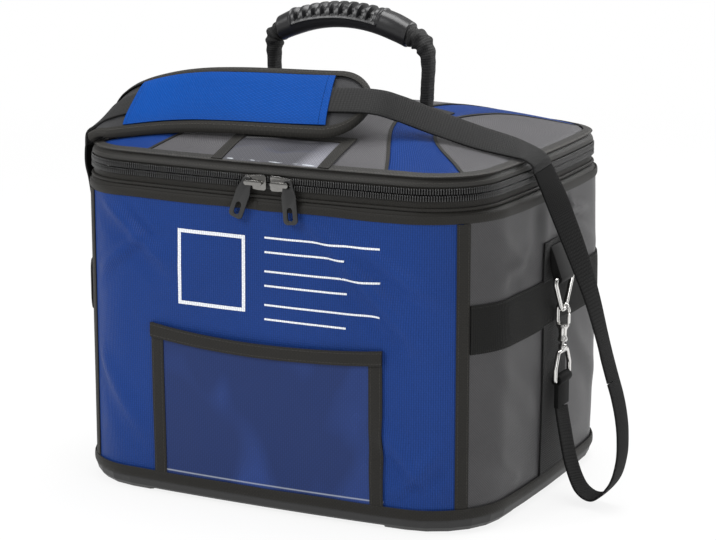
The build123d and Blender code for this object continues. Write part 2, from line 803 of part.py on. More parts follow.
def make_strap_eye():
    """A cast loop with its stem, which turns in the foot of the hook."""
    top, low, wide = eye_top, eye_bar_height, eye_half_width
    outline = make_face(Polyline((-wide, low), (-wide, low + 10), (-eye_top_half_width, top),
                                 (eye_top_half_width, top), (wide, low + 10), (wide, low), close=True))
    outer = faceted(offset(fillet(outline.vertices(), 2.0), eye_wire), 2)
    inner = faceted(offset(fillet(outline.vertices(), 2.6), -eye_wire), 2)
    loop = Pos(ring_plane, 0, 0) * extrude(side_view(outer - inner), eye_wire, both=True)
    stem = extrude(RegularPolygon(stem_radius, 12), (hook_body_bottom - top + 3.0) / 2, both=True)
    return loop + Pos(ring_plane, 0, (top + hook_body_bottom) / 2 + 1.6) * stem


def make_strap_tab():
    """The sewn end of the strap, folded round the eye's bar."""
    room = eye_wire * sqrt(2) + 0.3
    tail_length = 24.0
    profile = polygon_round(room + strap_thickness)
    profile += Pos(0, -tail_length / 2) * Rectangle(2 * strap_thickness, tail_length)
    profile -= polygon_round(room)
    solid = extrude(Plane.XZ * profile, strap_width / 2, both=True)
    return Pos(ring_plane, 0, eye_bar_height) * solid


# Shoulder strap and pad: stations are points along the middle of the strap, with the direction across it

def beside(side, high, stations):
    """Stations whose X is measured out from the right side (1) or the left side (-1) of the bag.

    The first ones, high in number, are measured up from the lid's rim, and the rest from the floor.
    """
    return [((side * (body_half_width + x), y, z + (lid_rim if index < high else 0)), across)
            for index, ((x, y, z), across) in enumerate(stations)]


pad_stations = beside(-1, 7, [((-11, -100, 9), (0, 0.95, 0.3)),
                              ((-25, -98, 21), (0, 0.86, 0.5)),
                              ((-47, -95, 31), (0, 0.8, 0.6)),
                              ((-87, -92, 40), (0, 0.75, 0.66)),
                              ((-135, -91, 44), (0, 0.74, 0.67)),
                              ((-215, -91, 45), (0, 0.74, 0.67)),
                              ((-263, -90, 44), (0, 0.74, 0.67))])
strap_left_end = beside(-1, 3, [((-1.2, -101, -5.8), (0, 1, 0)),
                                ((-1.8, -101, 3.5), (0, 1, 0.05)),
                                ((-4.5, -101, 9.5), (0, 0.98, 0.2))])
strap_right_end = beside(1, 7, [((-103, -80, 46), (0, 0.76, 0.65)),
                                ((-77, -66, 34), (0, 0.8, 0.6)),
                                ((-45, -54, 22), (0.05, 0.85, 0.52)),
                                ((-17, -46, 12), (0.1, 0.92, 0.38)),
                                ((-3, -42, 6), (0.2, 0.95, 0.1)),
                                ((3.8, -40, -1.5), (0.26, 0.96, 0)),
                                ((4.3, -40, -5.8), (0.28, 0.96, 0))])
right_fall_stations = beside(1, 5, [((4.4, -39.9, -6.4), (0.28, 0.96, 0)),
                                    ((5.6, -39.9, -13), (0.3, 0.95, 0)),
                                    ((10, -38.5, -27), (0.38, 0.92, 0)),
                                    ((16, -37, -44), (0.38, 0.92, 0)),
                                    ((27, -35, -75), (0.3, 0.95, 0)),
                                    ((40, -32, 184), (0.12, 0.99, 0)),
                                    ((54, -31, 150), (0, 1, 0)),
                                    ((66.6, -31, 121), (0, 1, 0)),
                                    ((66.8, -31, 117.9), (0, 1, 0))])
right_loop_stations = beside(1, 0, [((67, -31, 114.2), (0, 1, 0)),
                                    ((67.3, -31, 111.5), (0, 1, 0)),
                                    ((72, -29.5, 98), (0, 1, 0)),
                                    ((74.5, -27, 80), (0, 1, 0)),
                                    ((74.5, -24, 50), (0, 1, 0)),
                                    ((67, -21.5, 24), (0, 1, 0)),
                                    ((51, -18, 8), (0, 1, 0)),
                                    ((35, -14, 12), (0, 1, 0)),
                                    ((23, -9, 32), (0, 1, 0)),
                                    ((14, -3, 60), (0, 1, 0)),
                                    ((9.4, 0, 77.4), (0, 1, 0))])
left_fall_stations = beside(-1, 5, [((-1.1, -101, -6.4), (0, 1, 0)),
                                    ((-0.4, -100.8, -16), (0, 1, 0)),
                                    ((2.5, -92, -32), (0, 1, 0.15)),
                                    ((8, -75, -69), (0, 1, 0.2)),
                                    ((12, -57, -109), (0, 1, 0.2)),
                                    ((18, -40, 145), (0, 1, 0.1)),
                                    ((23.4, -30.7, 108), (0, 1, 0)),
                                    ((23.6, -30.5, 104.8), (0, 1, 0))])
left_loop_stations = beside(-1, 0, [((23.7, -30.5, 103.8), (0, 1, 0)),
                                    ((23.9, -30.2, 100), (0, 1, 0)),
                                    ((27, -24, 86), (0, 1, 0)),
                                    ((28, -14, 64), (0, 1, 0)),
                                    ((20, -5, 47), (0, 1, 0)),
                                    ((11.5, -1, 57), (0, 1, 0)),
                                    ((9.2, 0, 77.4), (0, 1, 0))])


pad_frames = frames(pad_stations)


def make_shoulder_pad_base():
    pad = ribbon(pad_frames, pad_width, pad_thickness)
    end = pad_stations[-1][0]
    across = Vector(*pad_stations[-1][1]).normalized()
    plane = Plane(origin=end, x_dir=(1, 0, 0), z_dir=Vector(1, 0, 0).cross(across))
    radius = pad_width / 2
    beyond = Rectangle(2 * radius, 4 * radius) - Pos(-radius, 0) * RegularPolygon(radius, 24)
    beyond -= Pos(-2 * radius, 0) * Rectangle(2 * radius, 4 * radius)
    return pad - extrude(plane * beyond, 40, both=True)


def make_shoulder_pad_cover():
    planes = pad_frames[1:-1]
    low = pad_thickness / 2 + seam_gap
    room = strap_thickness + 2 * seam_gap
    high = low + room + sleeve_thickness
    outer = ribbon(planes, sleeve_width, high - low, (low + high) / 2)
    return outer - ribbon(planes, strap_width + 1.0, room, low + room / 2)


def make_strap_over_lid():
    lift = pad_thickness / 2 + 2 * seam_gap + strap_thickness / 2
    over_pad = [Plane(plane.location * Pos(0, lift, 0)) for plane in pad_frames]
    left = frames(strap_left_end + pad_stations[:1])[:-1]
    right = frames(pad_stations[-1:] + strap_right_end)[1:]
    return ribbon(left + over_pad + right, strap_width, strap_thickness)


def plain_ribbon(stations, level=False):
    half_width, half_thickness = strap_width / 2, strap_thickness / 2
    section = [(-half_width, -half_thickness), (half_width, -half_thickness),
               (half_width, half_thickness), (-half_width, half_thickness)]
    return skin([on_plane(plane, section) for plane in frames(stations, level)])


# All pieces by name -----------------------------------------------------------------------------

parts = {
    "base_tray": make_base_tray(),
    "base_binding": make_base_binding(),
    "base_board": make_base_board(),
    "foam_floor": make_foam_floor(),
    "foam_front_back": make_foam(("front", "back")),
    "foam_sides": make_foam(("left", "right")),
    "inner_liner": make_inner_liner(),
    "corner_bindings": make_corner_bindings(),
    "mouth_gusset": make_mouth_gusset(),
    "mouth_binding": make_mouth_binding(),
    "mouth_piping": make_mouth_piping(),
    "zipper_tape_lower": make_zipper_tape_lower(),
    "lid_hinge_strip": make_lid_hinge_strip(),
    "document_pocket": make_document_pocket(),
    "document_pocket_binding": make_document_pocket_binding(),
    "zipper_tape_upper": make_zipper_tape_upper(),
    "lid_edge_band": make_lid_edge_band(),
    "lid_foam": make_lid_foam(),
    "lid_liner": make_lid_liner(),
    "window_pocket": make_window_pocket(),
    "window_binding": make_window_binding(),
    "handle_patches": make_handle_patches(),
    "handle_webbing": make_handle_webbing(),
    "handle_grip": make_handle_grip(),
    "shoulder_pad_base": make_shoulder_pad_base(),
    "shoulder_pad_cover": make_shoulder_pad_cover(),
    "strap_over_lid": make_strap_over_lid(),
    "strap_fall_right": plain_ribbon(right_fall_stations),
    "strap_fall_left": plain_ribbon(left_fall_stations),
    "strap_loop_right": plain_ribbon(right_loop_stations, True),
    "strap_loop_left": plain_ribbon(left_loop_stations, True),
}
parts.update(make_lid_panels())
parts.update(make_zip_parts())
for side, sign in (("left", -1), ("right", 1)):
    parts[f"{side}_side_panel"] = make_panel(side)
    parts[f"side_band_{side}"] = make_side_band(side)
    parts[f"side_webbing_{side}"] = make_side_webbing(sign)
for side in ("front", "back"):
    parts[f"{side}_panel"] = make_panel(side)
for name, shape in (("ring_hanger", make_ring_hanger()), ("ring", make_ring()), ("snap_hook", make_snap_hook()),
                    ("hook_gate", make_hook_gate()), ("strap_eye", make_strap_eye()),
                    ("strap_tab", make_strap_tab())):
    parts[f"{name}_right"] = shape
    parts[f"{name}_left"] = mirrored(shape)

for name, shape in parts.items():
    solids = shape if isinstance(shape, list) else [shape]
    export_step(Compound([piece for item in solids for piece in item.solids()]), f"parts/{name}.step")
print(len(parts), "pieces written")
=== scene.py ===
import json
import math
import bpy
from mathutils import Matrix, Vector, noise

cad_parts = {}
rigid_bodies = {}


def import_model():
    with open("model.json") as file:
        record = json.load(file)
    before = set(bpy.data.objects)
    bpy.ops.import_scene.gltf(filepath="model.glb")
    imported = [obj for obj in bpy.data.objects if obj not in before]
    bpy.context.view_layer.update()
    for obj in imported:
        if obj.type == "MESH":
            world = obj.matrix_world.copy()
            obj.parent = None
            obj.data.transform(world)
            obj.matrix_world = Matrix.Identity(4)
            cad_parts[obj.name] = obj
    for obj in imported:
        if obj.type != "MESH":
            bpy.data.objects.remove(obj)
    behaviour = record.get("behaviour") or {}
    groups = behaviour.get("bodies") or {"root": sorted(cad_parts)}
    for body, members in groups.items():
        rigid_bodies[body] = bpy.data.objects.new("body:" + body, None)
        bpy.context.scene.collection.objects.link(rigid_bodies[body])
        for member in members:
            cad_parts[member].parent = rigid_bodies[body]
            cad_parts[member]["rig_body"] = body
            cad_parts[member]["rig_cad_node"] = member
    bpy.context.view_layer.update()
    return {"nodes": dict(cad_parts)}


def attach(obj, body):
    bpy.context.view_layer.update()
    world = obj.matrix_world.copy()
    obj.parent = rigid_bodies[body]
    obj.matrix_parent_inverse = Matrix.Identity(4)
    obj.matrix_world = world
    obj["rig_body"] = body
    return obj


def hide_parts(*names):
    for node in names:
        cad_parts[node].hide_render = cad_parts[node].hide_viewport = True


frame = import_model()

scene = bpy.context.scene
nodes = frame["nodes"]
mm = 0.001


# camera, at the photograph's angle
cameraView = {"place": (0.9215, -1.822, 0.640), "turn": 26.54, "tilt": 12.84, "lens": 119.9, "sensor": 36, "reach": 50}
bpy.ops.object.camera_add(location=cameraView["place"])
camera = bpy.context.object
camera.rotation_euler = (math.radians(90 - cameraView["tilt"]), 0, math.radians(cameraView["turn"]))
camera.data.sensor_fit = "HORIZONTAL"
camera.data.sensor_width = cameraView["sensor"]
camera.data.lens = cameraView["lens"]
camera.data.clip_end = cameraView["reach"]
scene.camera = camera
scene.view_settings.view_transform = "Standard"
print("camera ready")


# shared shader parts
def newGroup(name, values, outs):
    # a group that takes a Vector and some numbers, and puts out the numbers named in outs
    group = bpy.data.node_groups.new(name, "ShaderNodeTree")
    group.interface.new_socket("Vector", in_out="INPUT", socket_type="NodeSocketVector")
    for label, value in values.items():
        socket = group.interface.new_socket(label, in_out="INPUT", socket_type="NodeSocketFloat")
        socket.default_value = value
    for label in outs:
        group.interface.new_socket(label, in_out="OUTPUT", socket_type="NodeSocketFloat")
    return group, group.nodes.new("NodeGroupInput"), group.nodes.new("NodeGroupOutput")


def wiring(tree):
    # short names for a tree's nodes.new and links.new, and calc, which adds a Math node and gives its output
    def calc(kind, *values):
        node = tree.nodes.new("ShaderNodeMath")
        node.operation = kind
        for index, value in enumerate(values):
            if isinstance(value, (int, float)):
                node.inputs[index].default_value = value
            else:
                tree.links.new(value, node.inputs[index])
        return node.outputs[0]

    return tree.nodes.new, tree.links.new, calc


weaveLook = {"dark": 0.64, "swing": 0.60, "warp": 0.75, "weft": 0.25}
stitchLook = {"thin": 2600.0, "blunt": 4.0, "raised": 1.6, "groove": 0.8}
wearLook = {"broadDetail": 4, "fineScale": 420, "fineDetail": 3, "fineShare": 0.35}


def buildWeave():
    # fine over-and-under threads on the piece's own UV map, in metres
    group, into, out = newGroup("weave", {"Threads": 900.0, "Rib": 0.5}, ("Height", "Shade"))
    add, link, calc = wiring(group)
    split = add("ShaderNodeSeparateXYZ")
    link(into.outputs["Vector"], split.inputs[0])
    waves = []
    for index in range(2):
        threads = calc("MULTIPLY", split.outputs[index], into.outputs["Threads"])
        waves.append(calc("SINE", calc("MULTIPLY", threads, math.pi)))
    warp, weft = (calc("ABSOLUTE", wave) for wave in waves)
    crossed = calc("MULTIPLY_ADD", calc("MULTIPLY", *waves), 0.5, 0.5)
    ribbed = calc("MULTIPLY_ADD", weft, weaveLook["weft"], calc("MULTIPLY", warp, weaveLook["warp"]))
    mix = add("ShaderNodeMix")
    for index, value in ((0, into.outputs["Rib"]), (2, crossed), (3, ribbed)):
        link(value, mix.inputs[index])
    link(mix.outputs[0], out.inputs["Height"])
    link(calc("MULTIPLY_ADD", mix.outputs[0], weaveLook["swing"], weaveLook["dark"]), out.inputs["Shade"])
    return group


def buildStitch():
    # two rows of thread, one beside each long edge of a tape whose V runs across it in metres
    group, into, out = newGroup("stitchRows", {"Width": 0.011, "Inset": 0.0018, "Pitch": 0.0034}, ("Mask", "Height"))
    add, link, calc = wiring(group)
    split = add("ShaderNodeSeparateXYZ")
    link(into.outputs["Vector"], split.inputs[0])
    half = calc("MULTIPLY", into.outputs["Width"], 0.5)
    across = calc("ABSOLUTE", calc("SUBTRACT", split.outputs[1], half))
    row = calc("ABSOLUTE", calc("SUBTRACT", across, calc("SUBTRACT", half, into.outputs["Inset"])))
    line = calc("SUBTRACT", 1.0, calc("MINIMUM", calc("MULTIPLY", row, stitchLook["thin"]), 1.0))
    along = calc("FRACT", calc("DIVIDE", split.outputs[0], into.outputs["Pitch"]))
    gap = calc("POWER", calc("ABSOLUTE", calc("MULTIPLY_ADD", along, 2.0, -1.0)), stitchLook["blunt"])
    mask = calc("MULTIPLY", line, calc("SUBTRACT", 1.0, gap))
    dip = calc("SUBTRACT", calc("MULTIPLY", mask, stitchLook["raised"]), calc("MULTIPLY", line, stitchLook["groove"]))
    link(mask, out.inputs["Mask"])
    link(dip, out.inputs["Height"])
    return group


def buildWear():
    # slow changes of shade over a large surface, and fine dust
    group, into, out = newGroup("wear", {"Scale": 9.0, "Amount": 0.2}, ("Shade", "Height"))
    add, link, calc = wiring(group)
    broad, fine = add("ShaderNodeTexNoise"), add("ShaderNodeTexNoise")
    broad.inputs["Detail"].default_value = wearLook["broadDetail"]
    fine.inputs["Scale"].default_value = wearLook["fineScale"]
    fine.inputs["Detail"].default_value = wearLook["fineDetail"]
    for texture in (broad, fine):
        link(into.outputs["Vector"], texture.inputs["Vector"])
    link(into.outputs["Scale"], broad.inputs["Scale"])
    swing = calc("SUBTRACT", broad.outputs["Fac"], 0.5)
    grain = calc("MULTIPLY_ADD", calc("SUBTRACT", fine.outputs["Fac"], 0.5), wearLook["fineShare"], swing)
    link(calc("MULTIPLY_ADD", grain, into.outputs["Amount"], 1.0), out.inputs["Shade"])
    link(fine.outputs["Fac"], out.inputs["Height"])
    return group


weaveGroup, stitchGroup, wearGroup = buildWeave(), buildStitch(), buildWear()


def useGroup(tree, group, **values):
    node = tree.nodes.new("ShaderNodeGroup")
    node.node_tree = group
    for label, value in values.items():
        if isinstance(value, (int, float)):
            node.inputs[label].default_value = value
        else:
            tree.links.new(value, node.inputs[label])
    return node


def startMaterial(name):
    material = bpy.data.materials.new(name)
    material.use_nodes = True
    tree = material.node_tree
    return material, tree, tree.nodes["Principled BSDF"]


def tinted(tree, colour, shade):
    # colour times a shade that changes over the surface
    tint = tree.nodes.new("ShaderNodeMix")
    tint.data_type = "RGBA"
    tint.blend_type = "MULTIPLY"
    tint.inputs[0].default_value = 1.0
    tint.inputs[6].default_value = (*colour, 1)
    grey = tree.nodes.new("ShaderNodeCombineColor")
    for index in range(3):
        tree.links.new(shade, grey.inputs[index])
    tree.links.new(grey.outputs[0], tint.inputs[7])
    return tint.outputs[2]


def bumped(tree, shader, height, strength, distance):
    bump = tree.nodes.new("ShaderNodeBump")
    bump.inputs["Strength"].default_value = strength
    bump.inputs["Distance"].default_value = distance
    tree.links.new(height, bump.inputs["Height"])
    tree.links.new(bump.outputs[0], shader.inputs["Normal"])


clothLooks = {  # name, colour, threads to a metre, rib, bump depth, roughness, sheen, unevenness, gloss,
    # and where it is stitched: the tape's width, the thread's tone and its distance from the edge
    "frontBlue": ("ribbedBlueCloth", (0.0110, 0.040, 0.182), 520, 0.85, 0.0007, 0.42, 0.0, 0.32, 0.10),
    "lidBlue": ("lidBlueCloth", (0.0080, 0.034, 0.160), 520, 0.85, 0.0006, 0.45, 0.0, 0.25, 0.06),
    "padBlue": ("padBlueCloth", (0.0022, 0.052, 0.262), 700, 0.5, 0.0005, 0.45, 0.0, 0.30, 0.07, 0.18, 0.45, 0.006),
    "sideGrey": ("coatedSideCloth", (0.058, 0.057, 0.059), 900, 0.2, 0.0003, 0.40, 0.0, 0.55, 0.22),
    # the lid's grey is the side's coated cloth painted lighter, as painted light falling from above on the top
    "grey": ("coatedClothPaintedLighter", (0.085, 0.083, 0.088), 800, 0.2, 0.0004, 0.42, 0.0, 0.35, 0.22),
    "padGrey": ("padGreyCloth", (0.034, 0.034, 0.036), 1100, 0.2, 0.0002, 0.5, 0.02, 0.25),
    "tape": ("blackTape", (0.018, 0.017, 0.015), 700, 0.6, 0.0004, 0.6, 0.03, 0.3, 0.16, 0.0115, 2.6),
    "tapeWide": ("blackWideTape", (0.018, 0.017, 0.015), 700, 0.6, 0.0004, 0.55, 0.03, 0.3),
    "edge": ("stitchedEdgeTape", (0.018, 0.017, 0.015), 700, 0.6, 0.0004, 0.5, 0.03, 0.3, 0.3, 0.0165, 5.0, 0.0045),
    "strap": ("blackWebbing", (0.0165, 0.0165, 0.0165), 520, 0.85, 0.0006, 0.65, 0.03, 0.2),
    # the falls, loops and tabs take the same webbing as the top strap painted darker, as painted shade where it hangs
    # down the sides
    "strapPaintedDarker": ("blackSideWebbing", (0.0118, 0.0118, 0.0118), 520, 0.85, 0.0006, 0.7, 0.0, 0.2, 0.08),
    "band": ("blackBandWebbing", (0.0115, 0.0115, 0.0110), 520, 0.85, 0.0006, 0.65, 0.0, 0.25, 0.10, 0.04),
    "print": ("whitePrint", (0.72, 0.74, 0.78), 560, 0.75, 0.0003, 0.6, 0.0, 0.15)}
hardLooks = {  # name, colour, roughness, metal, grain, unevenness, its scale, coat
    "rubber": ("blackRubber", (0.010, 0.010, 0.011), 0.36, 0.0, 0.0002, 0.2),
    "tray": ("blackMoulding", (0.014, 0.014, 0.014), 0.5, 0.0, 0.0004, 0.35),
    "metal": ("brightNickel", (0.74, 0.73, 0.71), 0.20, 1.0, 0.00005, 0.15),
    "slider": ("darkNickel", (0.25, 0.245, 0.235), 0.17, 1.0, 0.00015, 0.5, 60.0),
    "teeth": ("blackCoil", (0.016, 0.016, 0.016), 0.25, 0.0, 0.0002, 0.1, 18.0, 0.3),
    "pull": ("blackPull", (0.014, 0.014, 0.014), 0.36, 0.0, 0.0003),
    "foam": ("paleFoam", (0.72, 0.72, 0.70), 0.85, 0.0, 0.0006),
    "liner": ("silverLiner", (0.62, 0.63, 0.64), 0.35, 0.0, 0.0005, 0.2, 18.0, 0.2),
    "board": ("greyBoard", (0.30, 0.29, 0.28), 0.8)}
filmLooks = {  # name, colour, painted sheen, the place and tone of the painted edge highlight, how broken that highlight is, roughness, gloss
    "clear": ("pocketFilm", (0.0115, 0.0295, 0.122), 0.55, 0.0045, 0.5, 0.0, 0.22, 0.20),
    "windowClear": ("windowFilm", (0.078, 0.078, 0.088), 1.6, 0.0026, 0.9, 1.0, 0.12, 0.55)}
filmShape = {"stretch": (1.0, 0.55, 1.0), "bellies": 17, "twist": 0.6, "glints": 95, "paintedEdgeGlint": (0.62, 0.66, 0.70, 1),
             "threads": 520, "rib": 0.7, "plain": 0.92, "dulled": 0.10}


def clothMaterial(name, colour, threads, rib, depth, rough, sheen, uneven, gloss=0.16,
                  stitch=0, stitchTone=2.2, inset=0.0018):
    material, tree, shader = startMaterial(name)
    add, link, calc = wiring(tree)
    place = add("ShaderNodeTexCoord")
    weave = useGroup(tree, weaveGroup, Vector=place.outputs["UV"], Threads=threads, Rib=rib)
    wear = useGroup(tree, wearGroup, Vector=place.outputs["Object"], Scale=11.0, Amount=uneven)
    shade = calc("MULTIPLY", weave.outputs["Shade"], wear.outputs["Shade"])
    height = calc("MULTIPLY_ADD", wear.outputs["Height"], 0.35, weave.outputs["Height"])
    if stitch:
        rows = useGroup(tree, stitchGroup, Vector=place.outputs["UV"], Width=stitch, Inset=inset)
        shade = calc("MULTIPLY", shade, calc("MULTIPLY_ADD", rows.outputs["Mask"], stitchTone - 1, 1.0))
        height = calc("MULTIPLY_ADD", rows.outputs["Height"], 2.4, height)
    link(tinted(tree, colour, shade), shader.inputs["Base Color"])
    shader.inputs["Roughness"].default_value = rough
    shader.inputs["Specular IOR Level"].default_value = gloss
    shader.inputs["Sheen Weight"].default_value = sheen
    bumped(tree, shader, height, 0.6, depth)
    return material


def hardMaterial(name, colour, rough, metal=0.0, grain=0.0002, uneven=0.15, scale=18.0, coat=0.0):
    material, tree, shader = startMaterial(name)
    add, link, calc = wiring(tree)
    place = add("ShaderNodeTexCoord")
    wear = useGroup(tree, wearGroup, Vector=place.outputs["Object"], Scale=scale, Amount=uneven)
    link(tinted(tree, colour, wear.outputs["Shade"]), shader.inputs["Base Color"])
    link(calc("MULTIPLY", wear.outputs["Shade"], rough), shader.inputs["Roughness"])
    shader.inputs["Metallic"].default_value = metal
    shader.inputs["Coat Weight"].default_value = coat
    bumped(tree, shader, wear.outputs["Height"], 0.35, grain)
    return material


def filmMaterial(name, colour, paintedSheen, paintedGlintAt, paintedGlintTone, broken, rough, gloss):
    # film drawn opaque over cloth: the weave as if seen through it, a painted sheen of reflected light where it bellies
    # and a painted highlight along its open edge
    material, tree, shader = startMaterial(name)
    add, link, calc = wiring(tree)
    place, split, drawn = add("ShaderNodeTexCoord"), add("ShaderNodeSeparateXYZ"), add("ShaderNodeMapping")
    belly, glint, paintedGlintMix = add("ShaderNodeTexNoise"), add("ShaderNodeTexNoise"), add("ShaderNodeMix")
    link(place.outputs["UV"], split.inputs[0])
    link(place.outputs["UV"], drawn.inputs[0])
    link(place.outputs["UV"], glint.inputs["Vector"])
    link(drawn.outputs[0], belly.inputs["Vector"])
    weave = useGroup(tree, weaveGroup, Vector=place.outputs["UV"], Threads=filmShape["threads"], Rib=filmShape["rib"])
    drawn.inputs["Scale"].default_value = filmShape["stretch"]
    belly.inputs["Scale"].default_value = filmShape["bellies"]
    belly.inputs["Detail"].default_value = 1.0
    belly.inputs["Distortion"].default_value = filmShape["twist"]
    glint.inputs["Scale"].default_value = filmShape["glints"]
    # high marks where the film bellies; the shade below is lifted there, a painted sheen of reflected light
    high = calc("MINIMUM", calc("MAXIMUM", calc("MULTIPLY_ADD", belly.outputs["Fac"], 4.5, -2.2), 0.0), 1.0)
    gaps = calc("MULTIPLY_ADD", glint.outputs["Fac"], 9.0, -4.4)
    gaps = calc("MINIMUM", calc("MAXIMUM", gaps, 1.0 - broken), 1.0)
    # a thin pale line along the film's open edge, broken into glints by the gaps: a painted highlight mixed into the
    # colour
    paintedEdgeGlint = calc("MULTIPLY", calc("ABSOLUTE", calc("SUBTRACT", split.outputs[1], paintedGlintAt)), 1000.0)
    paintedEdgeGlint = calc("MULTIPLY", calc("SUBTRACT", 1.0, calc("MINIMUM", paintedEdgeGlint, 1.0)), gaps)
    shade = calc("MULTIPLY", calc("MULTIPLY_ADD", high, paintedSheen, filmShape["plain"]), weave.outputs["Shade"])
    paintedGlintMix.data_type = "RGBA"
    paintedGlintMix.inputs[7].default_value = filmShape["paintedEdgeGlint"]
    link(calc("MULTIPLY", paintedEdgeGlint, paintedGlintTone), paintedGlintMix.inputs[0])
    link(tinted(tree, colour, shade), paintedGlintMix.inputs[6])
    link(paintedGlintMix.outputs[2], shader.inputs["Base Color"])
    link(calc("MULTIPLY_ADD", high, filmShape["dulled"], rough), shader.inputs["Roughness"])
    shader.inputs["Specular IOR Level"].default_value = gloss
    bumped(tree, shader, belly.outputs["Fac"], 0.5, 0.004)
    return material


finish = {key: clothMaterial(*look) for key, look in clothLooks.items()}
finish.update({key: hardMaterial(*look) for key, look in hardLooks.items()})
finish.update({key: filmMaterial(*look) for key, look in filmLooks.items()})
print("materials ready")


# the bag's outline from above, walked from the middle of the front towards the right
def outlineWalk(halfWidth, halfDepth, bow, corner):
    longR = (halfWidth ** 2 + bow ** 2) / (2 * bow)
    shortR = (halfDepth ** 2 + bow ** 2) / (2 * bow)
    fy, sx = longR - halfDepth, halfWidth - shortR
    apart = math.hypot(fy, sx)
    near, far = longR - corner, shortR - corner
    along = (apart ** 2 + near ** 2 - far ** 2) / (2 * apart)
    across = math.sqrt(near ** 2 - along ** 2)
    dx, dy = sx / apart, fy / apart
    cx, cy = dx * along + dy * across, -fy + dy * along - dx * across
    a1 = math.atan2(cx, fy + cy)
    a2 = math.atan2(cy, cx - sx)
    turn = math.pi / 2 - a1 - a2
    lengths = (longR * a1, corner * turn, shortR * a2)
    quarter = sum(lengths)

    def quarterPoint(t):
        if t <= lengths[0]:
            a = t / longR
            return longR * math.sin(a), fy - longR * math.cos(a), math.sin(a), -math.cos(a)
        if t <= lengths[0] + lengths[1]:
            a = a1 + (t - lengths[0]) / corner
            return cx + corner * math.sin(a), -cy - corner * math.cos(a), math.sin(a), -math.cos(a)
        a = (quarter - t) / shortR
        return sx + shortR * math.cos(a), -shortR * math.sin(a), math.cos(a), -math.sin(a)

    def point(s):
        s = s % (4 * quarter)
        k = int(s // quarter)
        t = s - k * quarter
        x, y, nx, ny = quarterPoint(t if k in (0, 2) else quarter - t)
        right, front = ((1, 1), (1, -1), (-1, -1), (-1, 1))[min(k, 3)]
        return right * x, front * y, right * nx, front * ny

    def share(x, y):
        # how large the outline is, of its full size, where it passes through a point
        x, y = abs(x), abs(y)
        pc, cc = x * cx + y * cy, cx * cx + cy * cy - corner * corner
        root = pc * pc - cc * (x * x + y * y)
        if root > 0:
            s = (pc - math.sqrt(root)) / cc
            if s > 1e-6:
                a = math.atan2(x / s - cx, y / s - cy)
                if a1 <= a <= a1 + turn:
                    return s
        best = 0
        for r, o, p, q in ((longR, fy, y, x), (shortR, -sx, x, y)):
            aa, bb, dd = o * o - r * r, p * o, p * p + q * q
            best = max(best, (-bb - math.sqrt(bb * bb - aa * dd)) / aa)
        return best

    return {"point": point, "quarter": quarter, "corner": lengths[0] + lengths[1] / 2, "share": share}


bagOutline = {"halfWidth": 0.195, "halfDepth": 0.159, "bow": 0.008, "corner": 0.066}
lidOutline = {"halfWidth": 0.190, "halfDepth": 0.158, "bow": 0.008, "corner": 0.060}
lidRise = {"rim": 0.294, "rise": 0.033, "power": 1.7}
bag, lid = outlineWalk(**bagOutline), outlineWalk(**lidOutline)
quarter, cornerAt = bag["quarter"], bag["corner"]
lidQuarter, lidCorner = lid["quarter"], lid["corner"]
cornerSeams = (cornerAt, 2 * quarter - cornerAt, 2 * quarter + cornerAt, 4 * quarter - cornerAt)


def ease(a, b, x):
    t = min(1, max(0, (x - a) / (b - a)))
    return t * t * (3 - 2 * t)


def bell(x, middle, width):
    return math.exp(-((x - middle) / width) ** 2)


def crowned(v, power=4):
    # 0 at both edges of a tape and 1 along its middle
    return 1 - (2 * v - 1) ** power


softWall = {"billow": 0.0024, "ripple": 0.0015, "drag": 0.0035, "pressed": -0.0008, "webbed": 0.036,
            "low": 0.021, "high": 0.258}
wallFolds = [  # ends of each crease as distance round the bag and height, its half width and its depth
    ((-0.152, 0.254), (-0.088, 0.203), 0.008, 0.0046), ((-0.158, 0.190), (-0.112, 0.226), 0.006, 0.0038),
    ((-0.120, 0.252), (-0.094, 0.230), 0.005, 0.0030), ((0.050, 0.250), (0.142, 0.158), 0.009, 0.0046),
    ((0.088, 0.236), (0.158, 0.196), 0.007, 0.0038), ((0.112, 0.084), (0.162, 0.028), 0.009, 0.0044),
    ((0.118, 0.026), (0.160, 0.070), 0.007, 0.0034), ((-0.162, 0.120), (-0.118, 0.056), 0.009, 0.0034),
    ((quarter - 0.112, 0.246), (quarter - 0.062, 0.206), 0.009, 0.0024),
    ((quarter - 0.100, 0.206), (quarter - 0.052, 0.220), 0.007, 0.0018),
    ((quarter + 0.028, 0.257), (quarter + 0.021, 0.205), 0.0048, -0.0066),
    ((quarter - 0.004, 0.254), (quarter + 0.070, 0.236), 0.0045, 0.0036),
    ((quarter + 0.018, 0.240), (quarter + 0.098, 0.200), 0.008, 0.0026),
    ((quarter - 0.108, 0.132), (quarter - 0.045, 0.088), 0.010, 0.0020),
    ((quarter - 0.112, 0.058), (quarter - 0.066, 0.026), 0.009, 0.0024),
    ((quarter + 0.040, 0.134), (quarter + 0.106, 0.078), 0.010, 0.0020)]
wallFolds += [((2 * quarter - b[0], b[1]), (2 * quarter - a[0], a[1]), w, d * 0.8) for a, b, w, d in wallFolds[:8]]
wallFolds += [((2 * quarter + a[0], a[1]), (2 * quarter + b[0], b[1]), w, d) for a, b, w, d in wallFolds[8:16]]


def foldOut(s, z):
    out = 0.0
    for (s0, z0), (s1, z1), width, depth in wallFolds:
        if abs(z - (z0 + z1) / 2) > abs(z1 - z0) / 2 + 0.03:
            continue
        ds, dz = s1 - s0, z1 - z0
        long = math.hypot(ds, dz)
        here = (s - s0 + 2 * quarter) % (4 * quarter) - 2 * quarter
        along = (here * ds + (z - z0) * dz) / long / long
        if -0.25 < along < 1.25:
            across = (here * dz - (z - z0) * ds) / long / width
            profile = math.exp(-across * across) - 0.55 * math.exp(-(across - 1.5) ** 2)
            out += depth * profile * ease(-0.22, 0.25, along) * ease(1.22, 0.75, along)
    return out


